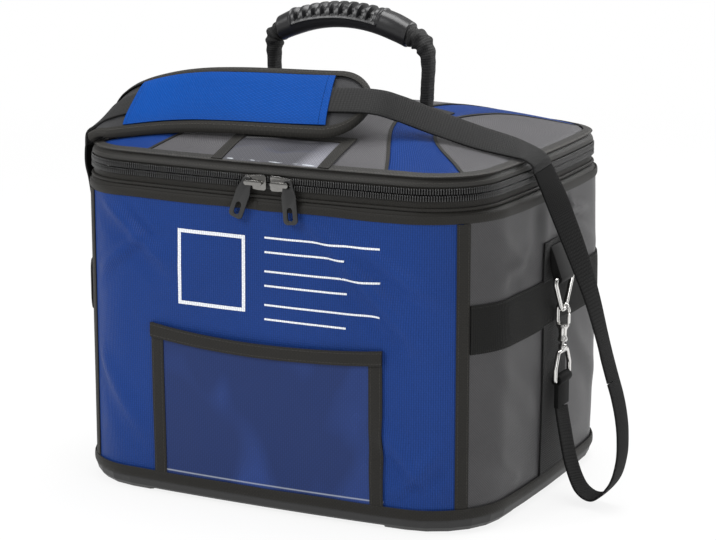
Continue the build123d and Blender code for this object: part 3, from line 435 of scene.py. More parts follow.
def wallOut(s, z):
    # how far the cloth stands off its seams: a slight billow, ripples, creases, and folds that the rings pull
    at = s % (4 * quarter)
    low, high = softWall["low"], softWall["high"]
    seam = min(abs(at - corner) for corner in cornerSeams)
    webbed = min(abs(at - quarter), abs(at - 3 * quarter))
    free = ease(0.004, 0.05, seam) * ease(0.0, 0.03, z - low) * ease(0.0, 0.02, high - z)
    free *= 1 - 0.85 * bell(webbed, 0, softWall["webbed"])
    out = softWall["billow"] * free * math.sin(math.pi * min(1, max(0, (z - 0.02) / 0.24)))
    out += softWall["ripple"] * free * noise.noise(Vector((s * 9, z * 5, 1.3)))
    out += 0.6 * softWall["ripple"] * free * noise.noise(Vector((s * 26 + z * 9, z * 17, 4.1)))
    out += foldOut(s, z) * ease(0.003, 0.022, seam) * ease(0.0, 0.014, z - low + 0.001) * ease(0.0, 0.012, high + 0.001 - z)
    top = ease(0.195, 0.235, z) * ease(0.262, 0.246, z)
    for middle in (quarter, 3 * quarter):
        d = at - middle
        pulled = bell(d, -0.020, 0.010) * 0.5 - bell(d, -0.040, 0.010) * 0.3 + bell(d, 0.026, 0.012) * 0.3
        out += softWall["drag"] * top * pulled
    return out


def bagPoint(s, z, out=0.0):
    x, y, nx, ny = bag["point"](s)
    out += max(softWall["pressed"], wallOut(s, z))
    return Vector((x + nx * out, y + ny * out, z))


def lidWall(s, z, out=0.0):
    x, y, nx, ny = lid["point"](s)
    return Vector((x + nx * out, y + ny * out, z))


def domeHeight(x, y):
    share = min(1.0, max(0.0001, lid["share"](x, y)))
    return lidRise["rim"] + lidRise["rise"] * (1 - share ** lidRise["power"])


# mesh helpers
def freshen():
    if bpy.context.object and bpy.context.object.mode != "OBJECT":
        bpy.ops.object.mode_set(mode="OBJECT")
    bpy.ops.object.select_all(action="DESELECT")


def pick(piece):
    freshen()
    piece.select_set(True)
    bpy.context.view_layer.objects.active = piece


def applyAll(piece):
    pick(piece)
    for modifier in list(piece.modifiers):
        bpy.ops.object.modifier_apply(modifier=modifier.name)


def eased(piece, width, angle, segments=2):
    # a bevel on the edges that are sharper than the angle
    rounding = piece.modifiers.new("rounding", "BEVEL")
    rounding.width = width
    rounding.segments = segments
    rounding.limit_method = "ANGLE"
    rounding.angle_limit = math.radians(angle)


def settle(piece, name, tone, body, *replaced, smooth=35):
    piece.name = name
    piece.data.name = name
    piece.data.materials.clear()
    piece.data.materials.append(finish[tone])
    pick(piece)
    bpy.ops.object.transform_apply(location=True, rotation=True, scale=True)
    bpy.ops.object.shade_smooth_by_angle(angle=math.radians(smooth))
    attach(piece, body)
    if replaced:
        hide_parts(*replaced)
    return piece


def weld(threshold):
    bpy.ops.object.mode_set(mode="EDIT")
    bpy.ops.mesh.select_all(action="SELECT")
    bpy.ops.mesh.remove_doubles(threshold=threshold)


def closeShell(piece, openEnds=True, threshold=0):
    # faces over a shell's open ends, and all its faces turned outwards
    pick(piece)
    bpy.ops.object.mode_set(mode="EDIT")
    if threshold:
        weld(threshold)
    if openEnds:
        bpy.ops.mesh.select_all(action="DESELECT")
        bpy.ops.mesh.select_mode(type="EDGE")
        bpy.ops.mesh.select_non_manifold()
        bpy.ops.mesh.edge_face_add()
    bpy.ops.mesh.select_all(action="SELECT")
    bpy.ops.mesh.normals_make_consistent(inside=False)
    bpy.ops.object.mode_set(mode="OBJECT")


def cloth(name, columns, rows, size, place, thickness, tone, body, *replaced, offset=-1, joinEnds=False, bevel=0.0):
    # a grid laid on the form, its UV map in metres, then thickened
    freshen()
    bpy.ops.mesh.primitive_grid_add(x_subdivisions=columns, y_subdivisions=rows, size=1)
    piece = bpy.context.object
    mesh = piece.data
    uv = mesh.uv_layers.active.data
    for loop in mesh.loops:
        co = mesh.vertices[loop.vertex_index].co
        uv[loop.index].uv = ((co.x + 0.5) * size[0], (co.y + 0.5) * size[1])
    for vertex in mesh.vertices:
        vertex.co = place(vertex.co.x + 0.5, vertex.co.y + 0.5)
    if joinEnds:
        weld(0.00002)
        bpy.ops.object.mode_set(mode="OBJECT")
    if thickness:
        solid = piece.modifiers.new("thickness", "SOLIDIFY")
        solid.thickness = thickness
        solid.offset = offset
        if bevel:
            eased(piece, bevel, 60)
        applyAll(piece)
    return settle(piece, name, tone, body, *replaced)


def strip(name, form, start, end, low, high, out, tone, body, *replaced, thickness=0.0012, rows=3, crown=0.0, wave=0.0):
    # a tape that runs round a form between two heights, joined to itself where it goes all the way
    def place(u, v):
        s = start + (end - start) * u
        sway = wave * noise.noise(Vector((s * 16, 3.7, 0.2)))
        return form(s, low + (high - low) * v + sway, out + crown * crowned(v) + 0.4 * sway)

    columns = max(4, int((end - start) / 0.006))
    whole = end - start > 3.9 * quarter
    return cloth(name, columns, rows, (end - start, high - low), place, thickness, tone, body, *replaced, joinEnds=whole)


def joined(pieces, name, *replaced):
    # several meshes made one piece that keeps the first one's body
    freshen()
    for piece in pieces:
        piece.select_set(True)
    bpy.context.view_layer.objects.active = pieces[0]
    bpy.ops.object.join()
    piece = bpy.context.object
    piece.name = name
    piece.data.name = name
    if replaced:
        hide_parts(*replaced)
    return piece


def refined(node, name, tone, body, bevel):
    # a copy of a hard CAD part with its loose triangles merged and its edges eased
    copy = nodes[node].copy()
    copy.data = nodes[node].data.copy()
    copy.parent = None
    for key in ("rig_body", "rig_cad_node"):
        if key in copy:
            del copy[key]
    scene.collection.objects.link(copy)
    copy.hide_render = False
    pick(copy)
    weld(0.00001)
    bpy.ops.mesh.dissolve_limited(angle_limit=math.radians(3))
    bpy.ops.object.mode_set(mode="OBJECT")
    eased(copy, bevel, 30)
    applyAll(copy)
    return settle(copy, name, tone, body, node, smooth=40)


# walls
walls = {"low": 0.0194, "high": 0.2618, "thick": 0.0014, "mesh": 0.004}


def wallPanel(name, start, end, tone, node):
    tall = walls["high"] - walls["low"]
    cloth(name, int((end - start) / walls["mesh"]), 70, (end - start, tall),
          lambda u, v: bagPoint(start + (end - start) * u, walls["low"] + tall * v), walls["thick"], tone, "bag", node)


wallPanel("frontPanel", -cornerAt, cornerAt, "frontBlue", "front_panel")
wallPanel("rightPanel", cornerAt, 2 * quarter - cornerAt, "sideGrey", "right_side_panel")
wallPanel("backPanel", 2 * quarter - cornerAt, 2 * quarter + cornerAt, "frontBlue", "back_panel")
wallPanel("leftPanel", 2 * quarter + cornerAt, 4 * quarter - cornerAt, "sideGrey", "left_side_panel")

tapes = {"cornerWidth": 0.0115, "cornerLow": 0.0213, "cornerHigh": 0.2568, "mouthLow": 0.257, "mouthHigh": 0.264,
         "baseLow": 0.0125, "baseHigh": 0.0212, "thick": 0.0012}
half, low = tapes["cornerWidth"] / 2, tapes["cornerLow"]
tall = tapes["cornerHigh"] - low
cornerTapes = []
for index, middle in enumerate(cornerSeams):
    cornerTapes.append(cloth("cornerTape" + str(index), 60, 6, (tall, 2 * half),
                             lambda u, v: bagPoint(middle - half + 2 * half * v, low + tall * u, 0.0008 + 0.0006 * crowned(v)),
                             tapes["thick"], "tape", "bag", offset=1))
joined(cornerTapes, "cornerTapes", "corner_bindings")
strip("mouthTape", bagPoint, 0, 4 * quarter, tapes["mouthLow"], tapes["mouthHigh"], 0.0006, "tapeWide",
      "bag", "mouth_binding", crown=0.0007, rows=5, wave=0.0016)
strip("baseTape", bagPoint, 0, 4 * quarter, tapes["baseLow"], tapes["baseHigh"], 0.0018, "tapeWide",
      "bag", "base_binding", crown=0.0008, rows=5, wave=0.0008)
print("walls ready")


# side bands and upright webbing
sideBand = {"low": 0.150, "high": 0.190, "short": 0.0062, "webHalf": 0.025, "webLow": 0.021, "webTop": 0.222,
            "webThick": 0.0011}
reach = quarter - cornerAt - sideBand["short"]
low, high, half = sideBand["low"], sideBand["high"], sideBand["webHalf"]
webLow, webTall = sideBand["webLow"], sideBand["webTop"] - sideBand["webLow"]
for side, middle in (("right", quarter), ("left", 3 * quarter)):
    cloth(side + "Band", 60, 12, (2 * reach, high - low),
          lambda u, v: bagPoint(middle - reach + 2 * reach * u, low + (high - low) * v, 0.0003 + 0.0006 * crowned(v, 6)),
          tapes["thick"], "band", "bag", "side_band_" + side, offset=1)
    cloth(side + "Webbing", 60, 14, (webTall, 2 * half),
          lambda u, v: bagPoint(middle - half + 2 * half * v, webLow + webTall * u, 0.0017),
          sideBand["webThick"], "strap", "bag", "side_webbing_" + side, offset=1)
print("bands ready")


# clear document pocket on the front
pocket = {"middle": 0.005, "half": 0.108, "low": 0.0195, "top": 0.152, "sag": 0.006, "tape": 0.012, "puff": 0.0016}


def pocketPlace(u, v, out):
    s = pocket["middle"] - pocket["half"] + 2 * pocket["half"] * u
    top = pocket["top"] - pocket["sag"] * crowned(u, 2)
    puff = pocket["puff"] * math.sin(math.pi * u) * ease(0.1, 1.0, v)
    return bagPoint(s, pocket["low"] + (top - pocket["low"]) * v, out + puff)


pocketFilm = cloth("pocketFilm", 60, 30, (0.216, 0.13), lambda u, v: pocketPlace(u, v, 0.0010), 0.0005, "clear",
                   "bag", "document_pocket")
pocketTapes = []
share = pocket["tape"] / (2 * pocket["half"])
topShare = pocket["tape"] / (pocket["top"] - pocket["low"])
for index, at in enumerate((0.0, 1.0 - share)):
    pocketTapes.append(cloth("pocketSide" + str(index), 40, 6, (0.13, 0.0115),
                             lambda u, v: pocketPlace(at + share * v, 0.012 + 0.988 * u, 0.0016 + 0.0005 * crowned(v)),
                             tapes["thick"], "tape", "bag", offset=1))
pocketTapes.append(cloth("pocketTop", 60, 6, (0.216, 0.0115),
                         lambda u, v: pocketPlace(u, 1 - topShare + topShare * v, 0.0020 + 0.0005 * crowned(v)),
                         tapes["thick"], "tape", "bag", offset=1))
joined(pocketTapes, "pocketTapes", "document_pocket_binding")
print("pocket ready")


# generic print: a square outline and ruled lines to write on
printArt = {"squareAt": (-0.044, 0.203), "squareHalf": 0.032, "line": 0.0030, "rulesAt": 0.006, "rulesEnd": 0.110,
            "shorter": 0.03, "rule": 0.0016, "rules": (0.234, 0.222, 0.206, 0.194, 0.178, 0.166)}
prints = []


def printBar(x0, x1, z0, z1):
    columns, rows = (24 if run > 0.01 else 2 for run in (x1 - x0, z1 - z0))
    prints.append(cloth("bar" + str(len(prints)), columns, rows, (x1 - x0, z1 - z0),
                        lambda u, v: bagPoint(x0 + (x1 - x0) * u, z0 + (z1 - z0) * v, 0.00035), 0.0002, "print", "bag"))


squareX, squareZ = printArt["squareAt"]
half, line = printArt["squareHalf"], printArt["line"]
printBar(squareX - half, squareX + half, squareZ + half - line, squareZ + half)
printBar(squareX - half, squareX + half, squareZ - half, squareZ - half + line)
printBar(squareX - half, squareX - half + line, squareZ - half + line, squareZ + half - line)
printBar(squareX + half - line, squareX + half, squareZ - half + line, squareZ + half - line)
for index, z in enumerate(printArt["rules"]):
    printBar(printArt["rulesAt"], printArt["rulesEnd"] - (printArt["shorter"] if index % 2 else 0), z, z + printArt["rule"])
joined(prints, "frontPrint")
print("print ready")


# mouth, zip and lid edge
mouth = {"gussetLow": 0.2622, "gussetHigh": 0.267, "piping": 0.2686, "cord": 0.0017, "squash": 0.85,
         "lowerTape": (0.2701, 0.2795), "upperTape": (0.2815, 0.2872), "hinge": (0.2672, 0.2808), "cover": (0.2812, 0.2872)}
hingeFrom, hingeTo = 2 * lidQuarter - lidCorner, 2 * lidQuarter + lidCorner
zipEnd = hingeFrom - 0.001
zipStart = -zipEnd
zipRun = zipEnd - zipStart


def pipingPlace(u, v):
    # a cord sewn in along the lid's outline
    a = v * 2 * math.pi
    z = mouth["piping"] + mouth["squash"] * mouth["cord"] * math.sin(a)
    return lidWall(zipStart + zipRun * u, z, 0.0004 - mouth["cord"] * math.cos(a))


def gussetPlace(u, v):
    low = bagPoint(4 * quarter * u, mouth["gussetLow"])
    high = lidWall(4 * lidQuarter * u, mouth["gussetHigh"])
    return low.lerp(high, v) + (low - Vector((0, 0, low.z))).normalized() * 0.0008 * math.sin(math.pi * v)


cloth("mouthGusset", 220, 5, (4 * quarter, 0.006), gussetPlace, 0.0012, "tapeWide", "bag", "mouth_gusset", joinEnds=True)
cloth("mouthPiping", int(zipRun / 0.006), 12, (zipRun, 2 * math.pi * mouth["cord"]), pipingPlace, 0, "tapeWide",
      "bag", "mouth_piping", joinEnds=True)
lowerTape = strip("lowerTape", lidWall, zipStart, zipEnd, *mouth["lowerTape"], -0.0002, "tapeWide", "bag",
                  thickness=0.001, rows=4)
upperTape = strip("upperTape", lidWall, zipStart, zipEnd, *mouth["upperTape"], -0.0002, "tapeWide", "lid",
                  thickness=0.001)
strip("hingeStrip", lidWall, hingeFrom, hingeTo, *mouth["hinge"], 0.0, "sideGrey", "bag", "lid_hinge_strip", rows=5)
zipTeeth = {"pitch": 0.0021, "wide": 0.00135, "tall": 0.0052, "proud": 0.0019, "round": 0.0005}


def toothRow(name, low, shift, body, node):
    # one tooth is modelled, then copied along the tape
    freshen()
    bpy.ops.mesh.primitive_cube_add(size=1)
    tooth = bpy.context.object
    for vertex in tooth.data.vertices:
        vertex.co = (vertex.co.x * zipTeeth["wide"], vertex.co.y * zipTeeth["proud"], vertex.co.z * zipTeeth["tall"])
    eased(tooth, zipTeeth["round"], 30, 1)
    applyAll(tooth)
    points = [v.co.copy() for v in tooth.data.vertices]
    faces = [tuple(p.vertices) for p in tooth.data.polygons]
    bpy.data.objects.remove(tooth)
    verts, polys = [], []
    for index in range(int(zipRun / zipTeeth["pitch"])):
        x, y, nx, ny = lid["point"](zipStart + (index + 0.5 + shift) * zipTeeth["pitch"])
        base = len(verts)
        for p in points:
            out = p.y + zipTeeth["proud"] / 2
            verts.append((x + nx * out - ny * p.x, y + ny * out + nx * p.x, low + zipTeeth["tall"] / 2 + p.z))
        polys += [tuple(base + k for k in face) for face in faces]
    mesh = bpy.data.meshes.new(name)
    mesh.from_pydata(verts, [], polys)
    row = bpy.data.objects.new(name, mesh)
    scene.collection.objects.link(row)
    settle(row, name, "teeth", body, smooth=50)
    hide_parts(node)


toothRow("lowerTeeth", 0.2752, 0.0, "bag", "zipper_tape_lower")
toothRow("upperTeeth", 0.2807, 0.5, "lid", "zipper_tape_upper")
lidEdge = {"low": 0.2872, "tall": 0.0078, "top": 0.2940, "rolled": 0.62, "inward": 0.0085}


def edgeBand(u, v):
    # the lid's bound edge, rolled over from the wall to the top
    s = 4 * lidQuarter * u
    a = v * math.pi / 2
    out = 0.0010 * math.cos(a) - 0.0075 * (1 - math.cos(a))
    z = lidEdge["low"] + lidEdge["tall"] * v + 0.0016 * math.sin(a)
    if v > lidEdge["rolled"]:
        x, y, nx, ny = lid["point"](s)
        drop = (v - lidEdge["rolled"]) / (1 - lidEdge["rolled"])
        out = 0.0007 - lidEdge["inward"] * drop
        z = max(lidEdge["top"], domeHeight(x + nx * min(out, 0), y + ny * min(out, 0))) + 0.0010 - 0.0002 * drop
    return lidWall(s, z, out)


cloth("lidEdge", 260, 14, (4 * lidQuarter, 0.0165), edgeBand, 0.0010, "edge", "lid", "lid_edge_band", joinEnds=True)
strip("hingeCover", lidWall, hingeFrom, hingeTo, *mouth["cover"], 0.0, "tapeWide", "lid")
print("zip ready")


# the domed lid, panel by panel between seams
stripe = {"inner": ((0.1145, -0.156), (0.103, -0.130), (0.0765, -0.066), (0.066, 0.0),
                    (0.0765, 0.066), (0.103, 0.130), (0.1145, 0.156)),
          "outer": ((0.1755, -0.1335), (0.1575, -0.1170), (0.1175, -0.071), (0.100, 0.0),
                    (0.1175, 0.071), (0.1575, 0.1170), (0.1755, 0.1335)),
          "inset": 0.984, "mesh": 0.004, "rows": 80, "seam": 0.0028}


def smoothCurve(points, t):
    # a soft curve through the points, t from 0 to 1
    last = len(points) - 1
    at = min(last - 1e-6, max(0.0, t * last))
    i = int(at)
    f = at - i
    a, b, c, d = [Vector(points[min(last, max(0, k))]) for k in (i - 1, i, i + 1, i + 2)]
    if i == 0:
        a = 2 * b - c
    if i + 2 > last:
        d = 2 * c - b
    return 0.5 * (2 * b + (c - a) * f + (2 * a - 5 * b + 4 * c - d) * f * f + (3 * b - a - 3 * c + d) * f ** 3)


def lidEdgeAt(x, y):
    # the lid's outline in the direction of a point, a little inside the rim
    share = lid["share"](x, y)
    return Vector((x / share * stripe["inset"], y / share * stripe["inset"]))


def rimEnds(line):
    # a seam's points, its first and last brought out to the rim
    return [tuple(lidEdgeAt(*line[0])), *line[1:-1], tuple(lidEdgeAt(*line[-1]))]


innerLine, outerLine = rimEnds(stripe["inner"]), rimEnds(stripe["outer"])


def inner(t):
    return smoothCurve(innerLine, t)


def outer(t):
    return smoothCurve(outerLine, t)


def innerLeft(t):
    p = inner(t)
    return Vector((-p.x, p.y))


def rimBetween(a, b):
    return lambda t: lidEdgeAt(*a.lerp(b, t))


def rimArc(t):
    # round the right side of the rim from the front end of the seam to its back end
    x, y = outerLine[0]
    a = math.atan2(y, x) * (1 - 2 * t)
    return lidEdgeAt(math.cos(a), math.sin(a))


def patch(left, right, front, back, u, v):
    # a surface stretched between four edges
    flat = left(0) * (1 - u) * (1 - v) + right(0) * u * (1 - v) + left(1) * (1 - u) * v + right(1) * u * v
    return left(v) * (1 - u) + right(v) * u + front(u) * (1 - v) + back(u) * v - flat


def lidPanel(name, left, right, front, back, columns, tone, node, mirror=False):
    cell = stripe["mesh"]

    def place(u, v):
        p = patch(left, right, front, back, 1 - u if mirror else u, v)
        x, y = (-p.x, p.y) if mirror else (p.x, p.y)
        rim = lid["share"](x, y)
        puff = 0.0004 * noise.noise(Vector((x * 14, y * 14, 7))) + 0.0008 * noise.noise(Vector((x * 5, y * 6, 2)))
        dip = -0.0010 * bell(min(u, 1 - u) * columns * cell, 0, 0.003)
        tuck = -0.0015 * ease(0.945, 0.968, rim)
        return Vector((x, y, domeHeight(x, y) + dip + tuck + puff * ease(1.0, 0.93, rim)))

    cloth(name, columns, stripe["rows"], (columns * cell, stripe["rows"] * cell), place, 0.0011, tone, "lid", node)


# the grey lid panels take the cloth painted lighter for the light that falls on the top
lidPanel("centrePanel", innerLeft, inner, rimBetween(innerLeft(0), inner(0)), rimBetween(innerLeft(1), inner(1)),
         56, "grey", "lid_centre_panel")
for side, mirror in (("right", False), ("left", True)):
    lidPanel(side + "Stripe", inner, outer, rimBetween(inner(0), outer(0)), rimBetween(inner(1), outer(1)),
             16, "lidBlue", "lid_stripe_" + side, mirror)
    lidPanel(side + "End", outer, rimArc, lambda t: outer(0), lambda t: outer(1), 24, "grey", "lid_end_" + side, mirror)


def seamPlace(line, sign):
    def place(u, v):
        p = line(u)
        q = line(min(1, u + 0.01)) - line(max(0, u - 0.01))
        across = Vector((-q.y, q.x)).normalized() * (v - 0.5) * stripe["seam"]
        x, y = (p.x + across.x) * sign, p.y + across.y
        return Vector((x, y, domeHeight(x, y) + 0.0002))
    return place


seams = [cloth("seam%d%d" % (index, sign + 1), 80, 2, (0.3, stripe["seam"]), seamPlace(line, sign), 0.0006, "tapeWide",
               "lid", offset=-sign) for sign in (1, -1) for index, line in enumerate((inner, outer))]
joined(seams, "lidSeams")
print("lid panels ready")


# clear window pocket on the lid
window = {"middle": 0.009, "half": 0.054, "front": -0.156, "back": -0.104, "tape": 0.010, "wave": 0.0009, "belly": 0.0010}


def onDome(x, y, up):
    return Vector((x, y, domeHeight(x, y) + up))


def windowPlace(u, v, up):
    x = window["middle"] + (2 * u - 1) * window["half"]
    y = window["front"] + (window["back"] - window["front"]) * v
    wave = window["wave"] * math.sin(u * 9 + 1.2 * math.sin(v * 5))
    wave *= math.sin(math.pi * u) * math.sin(math.pi * min(1, v * 1.1))
    return onDome(x, y, up + wave + window["belly"] * math.sin(math.pi * u) * math.sin(math.pi * v))


windowFilm = cloth("windowFilm", 50, 26, (0.108, 0.052), lambda u, v: windowPlace(u, v, 0.0009), 0.0004, "windowClear",
                   "lid", "window_pocket")
windowTapes = []
share = window["tape"] / (2 * window["half"])
deep = window["tape"] / (window["back"] - window["front"])
for index, (u0, u1, v0, v1) in enumerate(((0, share, 0, 1), (1 - share, 1, 0, 1), (share, 1 - share, 1 - deep, 1))):
    def windowTapePlace(u, v):
        across, along = (v, u) if index < 2 else (u, v)
        return windowPlace(u0 + (u1 - u0) * across, v0 + (v1 - v0) * along, 0.0018)

    windowTapes.append(cloth("windowTape" + str(index), 30, 5, (0.052 if index < 2 else 0.088, 0.0115),
                             windowTapePlace, 0.0010, "tape", "lid", offset=1 if index < 2 else -1))
joined(windowTapes, "windowTapes", "window_binding")
footPatch = {"left": -0.0695, "right": 0.0770, "wide": 0.034, "deep": 0.04}
wide, deep = footPatch["wide"], footPatch["deep"]
patches = []
for index, side in ((0, "left"), (2, "right")):
    patches.append(cloth("patch%d" % index, 14, 16, (wide, deep),
                         lambda u, v: onDome(footPatch[side] + (u - 0.5) * wide, (v - 0.5) * deep, 0.0010),
                         0.0012, "tapeWide", "lid"))
joined(patches, "handlePatches", "handle_patches")
print("window ready")


# carry handle: gathered webbing legs and a ribbed grip
handle = {"top": 0.3995, "half": 0.062, "drop": 0.015, "tall": 0.0113, "wide": 0.0136, "pivot": 0.3315,
          "grooves": 9, "pitch": 0.0086, "middle": -0.0065, "depth": 0.34, "line": 0.0010}
gripR = (handle["half"] ** 2 + handle["drop"] ** 2) / (2 * handle["drop"])
gripTurn = math.asin(handle["half"] / gripR)


def gripPlace(u, v):
    end = abs(2 * u - 1)
    a = (2 * u - 1) * gripTurn
    lean = a * (1 - 0.5 * ease(0.5, 1.0, end))
    outward = Vector((math.sin(lean), 0, math.cos(lean)))
    turn = v * 2 * math.pi
    lift, side = math.cos(turn), math.sin(turn)
    d = gripR * a - handle["middle"]
    pitch, most = handle["pitch"], handle["grooves"] // 2
    groove = ease(0.0030, 0.0022, abs(d - round(max(-most, min(most, d / pitch))) * pitch)) * ease(0.02, 0.16, lift)
    reach = pitch * (handle["grooves"] / 2 + 0.35)
    line = bell(lift, -0.10, 0.055) * ease(reach + 0.001, reach, abs(d))
    line = handle["line"] * (line + bell(abs(d), reach, 0.0011) * ease(-0.14, -0.06, lift))
    size = 1 - 0.05 * ease(0.70, 1.0, end) - 0.30 * max(0.0, (end - 0.970) / 0.030) ** 3
    size *= 1 - handle["depth"] * groove
    tall = handle["tall"] * size * (1 + 0.14 * side * side) + line
    wide = handle["wide"] * size * (1 + 0.10 * lift * lift) + line
    middle = Vector((gripR * math.sin(a), 0, handle["top"] - gripR * (1 - math.cos(a))))
    return middle + outward * (tall * lift) + Vector((0, wide * side, 0))


grip = cloth("gripMoulding", 330, 56, (0.14, 0.08), gripPlace, 0, "rubber", "carry_handle", joinEnds=True)
closeShell(grip)
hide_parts("handle_grip")

legPaths = {1: ((0.052, 0.3868), (0.062, 0.3845), (0.0705, 0.3808), (0.0765, 0.372),
                (0.0782, 0.360), (0.0776, 0.345), (0.077, 0.3315), (0.077, 0.3232)),
            -1: ((-0.052, 0.3862), (-0.0605, 0.3838), (-0.0668, 0.3795), (-0.0695, 0.371),
                 (-0.0700, 0.359), (-0.0698, 0.345), (-0.0695, 0.3315), (-0.0695, 0.3232))}
legShape = {"tall": 0.0041, "wide": 0.0090, "bunchedTall": 0.0034, "bunchedWide": 0.0024, "folds": 0.0010, "lumps": 0.0009}


def legPlace(sign):
    path = legPaths[sign]

    def place(u, v):
        here = smoothCurve(path, u)
        along = (smoothCurve(path, min(1, u + 0.02)) - smoothCurve(path, max(0, u - 0.02))).normalized()
        a = v * 2 * math.pi
        bunched = ease(0.62, 0.22, u)
        folds = legShape["folds"] * math.sin(u * 55 + 2.3 * math.sin(a + sign)) * bunched * ease(0.10, 0.2, u)
        lumps = noise.noise(Vector((u * 17, math.cos(a) * 1.4, sign * 3 + math.sin(a) * 1.4)))
        folds += legShape["lumps"] * lumps * (0.4 + bunched)
        tall = legShape["tall"] + legShape["bunchedTall"] * bunched + folds
        wide = legShape["wide"] + legShape["bunchedWide"] * bunched + folds
        below = handle["pivot"] - here.y
        if below > 0:  # the foot is round where it turns on the lid
            wide *= math.sqrt(max(0.02, 1 - (below / legShape["wide"]) ** 2))
        square = (abs(math.cos(a)) ** 3 + abs(math.sin(a)) ** 3) ** (-1 / 3)
        middle = here + Vector((-along.y, along.x)) * sign * (tall * square * math.cos(a))
        return Vector((middle.x, wide * square * math.sin(a), middle.y))
    return place


legs = [cloth("leg%d" % (sign + 1), 90, 28, (0.08, 0.05), legPlace(sign), 0, "strap", "carry_handle", joinEnds=True)
        for sign in (-1, 1)]
legs = joined(legs, "handleLegs")
closeShell(legs)
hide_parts("handle_webbing")
print("handle ready")


# shoulder strap and its pad: stations in millimetres, each with the direction across the strap
level = (0, 1, 0)
strapShape = {"wide": 0.025, "thick": 0.0018, "crown": 0.0004, "edge": 0.0004, "overPad": 0.0052}
strapRoute = {
    "pad": [((-184, -100, 303), (0, 0.95, 0.30)), ((-170, -99, 314), (0, 0.86, 0.50)),
            ((-148, -98.5, 322.5), (0, 0.80, 0.60)), ((-108, -96, 330.5), (0, 0.75, 0.66)),
            ((-60, -95, 334.5), (0, 0.74, 0.67)), ((20, -93.5, 336.5), (0, 0.74, 0.67)), ((68, -90, 338), (0, 0.74, 0.67))],
    "leftEnd": [((-193.8, -101, 288.2), level), ((-193.2, -101, 297.5), (0, 1, 0.05)),
                ((-190.5, -101, 303.5), (0, 0.98, 0.2))],
    "rightEnd": [((90, -83, 336), (0, 0.76, 0.65)), ((118, -71, 324.5), (0, 0.80, 0.60)),
                 ((150, -59, 313), (0.05, 0.85, 0.52)), ((176, -49, 305.5), (0.10, 0.92, 0.38)),
                 ((190, -44.5, 300.5), (0.18, 0.95, 0.16)), ((197.6, -41.6, 294.6), (0.24, 0.96, 0.04)),
                 ((200.3, -40.6, 288.2), (0.28, 0.96, 0))],
    "rightFall": [((200.4, -40.5, 287.9), (0.28, 0.96, 0)), ((204.2, -39.4, 279.5), (0.32, 0.95, 0)),
                  ((210.4, -38.0, 266), (0.38, 0.92, 0)), ((216.8, -36.2, 250), (0.38, 0.92, 0)),
                  ((229.0, -33.6, 219), (0.30, 0.95, 0)), ((241.5, -31.4, 184), (0.12, 0.99, 0)),
                  ((251.6, -31, 150), level), ((256.6, -31, 132), level), ((262, -31, 114.25), level)],
    "rightLoop": [((262, -31, 114.2), level), ((265.8, -30.3, 101), level), ((268.6, -28, 84), level),
                  ((269.6, -25.5, 66), level), ((268.3, -23.6, 45), level), ((261.5, -21.5, 24), level),
                  ((246, -18, 8), level), ((230, -14, 12), level), ((218, -9, 32), level), ((209, -3, 60), level),
                  ((204.4, 0, 77.4), level)],
    "leftFall": [((-193.9, -101, 287.9), level), ((-194.6, -100.8, 278), level), ((-197.5, -92, 262), (0, 1, 0.15)),
                 ((-203, -75, 225), (0, 1, 0.2)), ((-207, -57, 185), (0, 1, 0.2)), ((-213, -40, 145), (0, 1, 0.1)),
                 ((-216.4, -34.6, 124), level), ((-218.7, -30.5, 103.85), level)],
    "leftLoop": [((-218.7, -30.5, 103.8), level), ((-221, -26.5, 91), level), ((-222.8, -20, 76), level),
                 ((-221.6, -12, 60), level), ((-215, -5, 47), level), ((-206.5, -1, 57), level), ((-204.2, 0, 77.4), level)],
}


def routeFrame(stations, t, lift=0.0):
    # middle, across and up of a strap at t, from 0 to 1 along its stations
    points = [point for point, _ in stations]
    along = (smoothCurve(points, min(1, t + 0.01)) - smoothCurve(points, max(0, t - 0.01))).normalized()
    across = smoothCurve([direction for _, direction in stations], t)
    across = (across - along * across.dot(along)).normalized()
    up = along.cross(across)
    return smoothCurve(points, t) * mm + up * lift, across, up


def ribbon(name, stations, tone, body, node, length):
    def place(u, v):
        where, across, up = routeFrame(stations, u)
        return where + across * (v - 0.5) * strapShape["wide"] + up * strapShape["crown"] * crowned(v, 2)

    cloth(name, 24 * (len(stations) - 1), 8, (length, strapShape["wide"]), place, strapShape["thick"], tone, body, node,
          offset=0, bevel=strapShape["edge"])


def liftedPad(up):
    last = len(strapRoute["pad"]) - 1
    lifted = [routeFrame(strapRoute["pad"], index / last, up) for index in range(last + 1)]
    return [(tuple(where / mm), tuple(across)) for where, across, _ in lifted]


strapOver = strapRoute["leftEnd"] + liftedPad(strapShape["overPad"]) + strapRoute["rightEnd"]
ribbon("strapOverLid", strapOver, "strap", "lid", "strap_over_lid", 0.50)
# the falls and loops take the webbing painted darker, as painted shade
ribbon("strapFallRight", strapRoute["rightFall"], "strapPaintedDarker", "bag", "strap_fall_right", 0.19)
ribbon("strapFallLeft", strapRoute["leftFall"], "strapPaintedDarker", "bag", "strap_fall_left", 0.21)
ribbon("strapLoopRight", strapRoute["rightLoop"], "strapPaintedDarker", "strap_end_right", "strap_loop_right", 0.20)
ribbon("strapLoopLeft", strapRoute["leftLoop"], "strapPaintedDarker", "strap_end_left", "strap_loop_left", 0.10)

padShape = {"half": 0.035, "long": 0.262, "thick": 0.0035, "swell": 0.0022, "fold": 0.0085, "bound": 0.0042}


def padWidth(t):
    # half width along the pad: full, then rounded at its right end
    end = (1 - t) * padShape["long"]
    if end < padShape["half"]:
        return math.sqrt(max(0.0, padShape["half"] ** 2 - (padShape["half"] - end) ** 2))
    return padShape["half"]


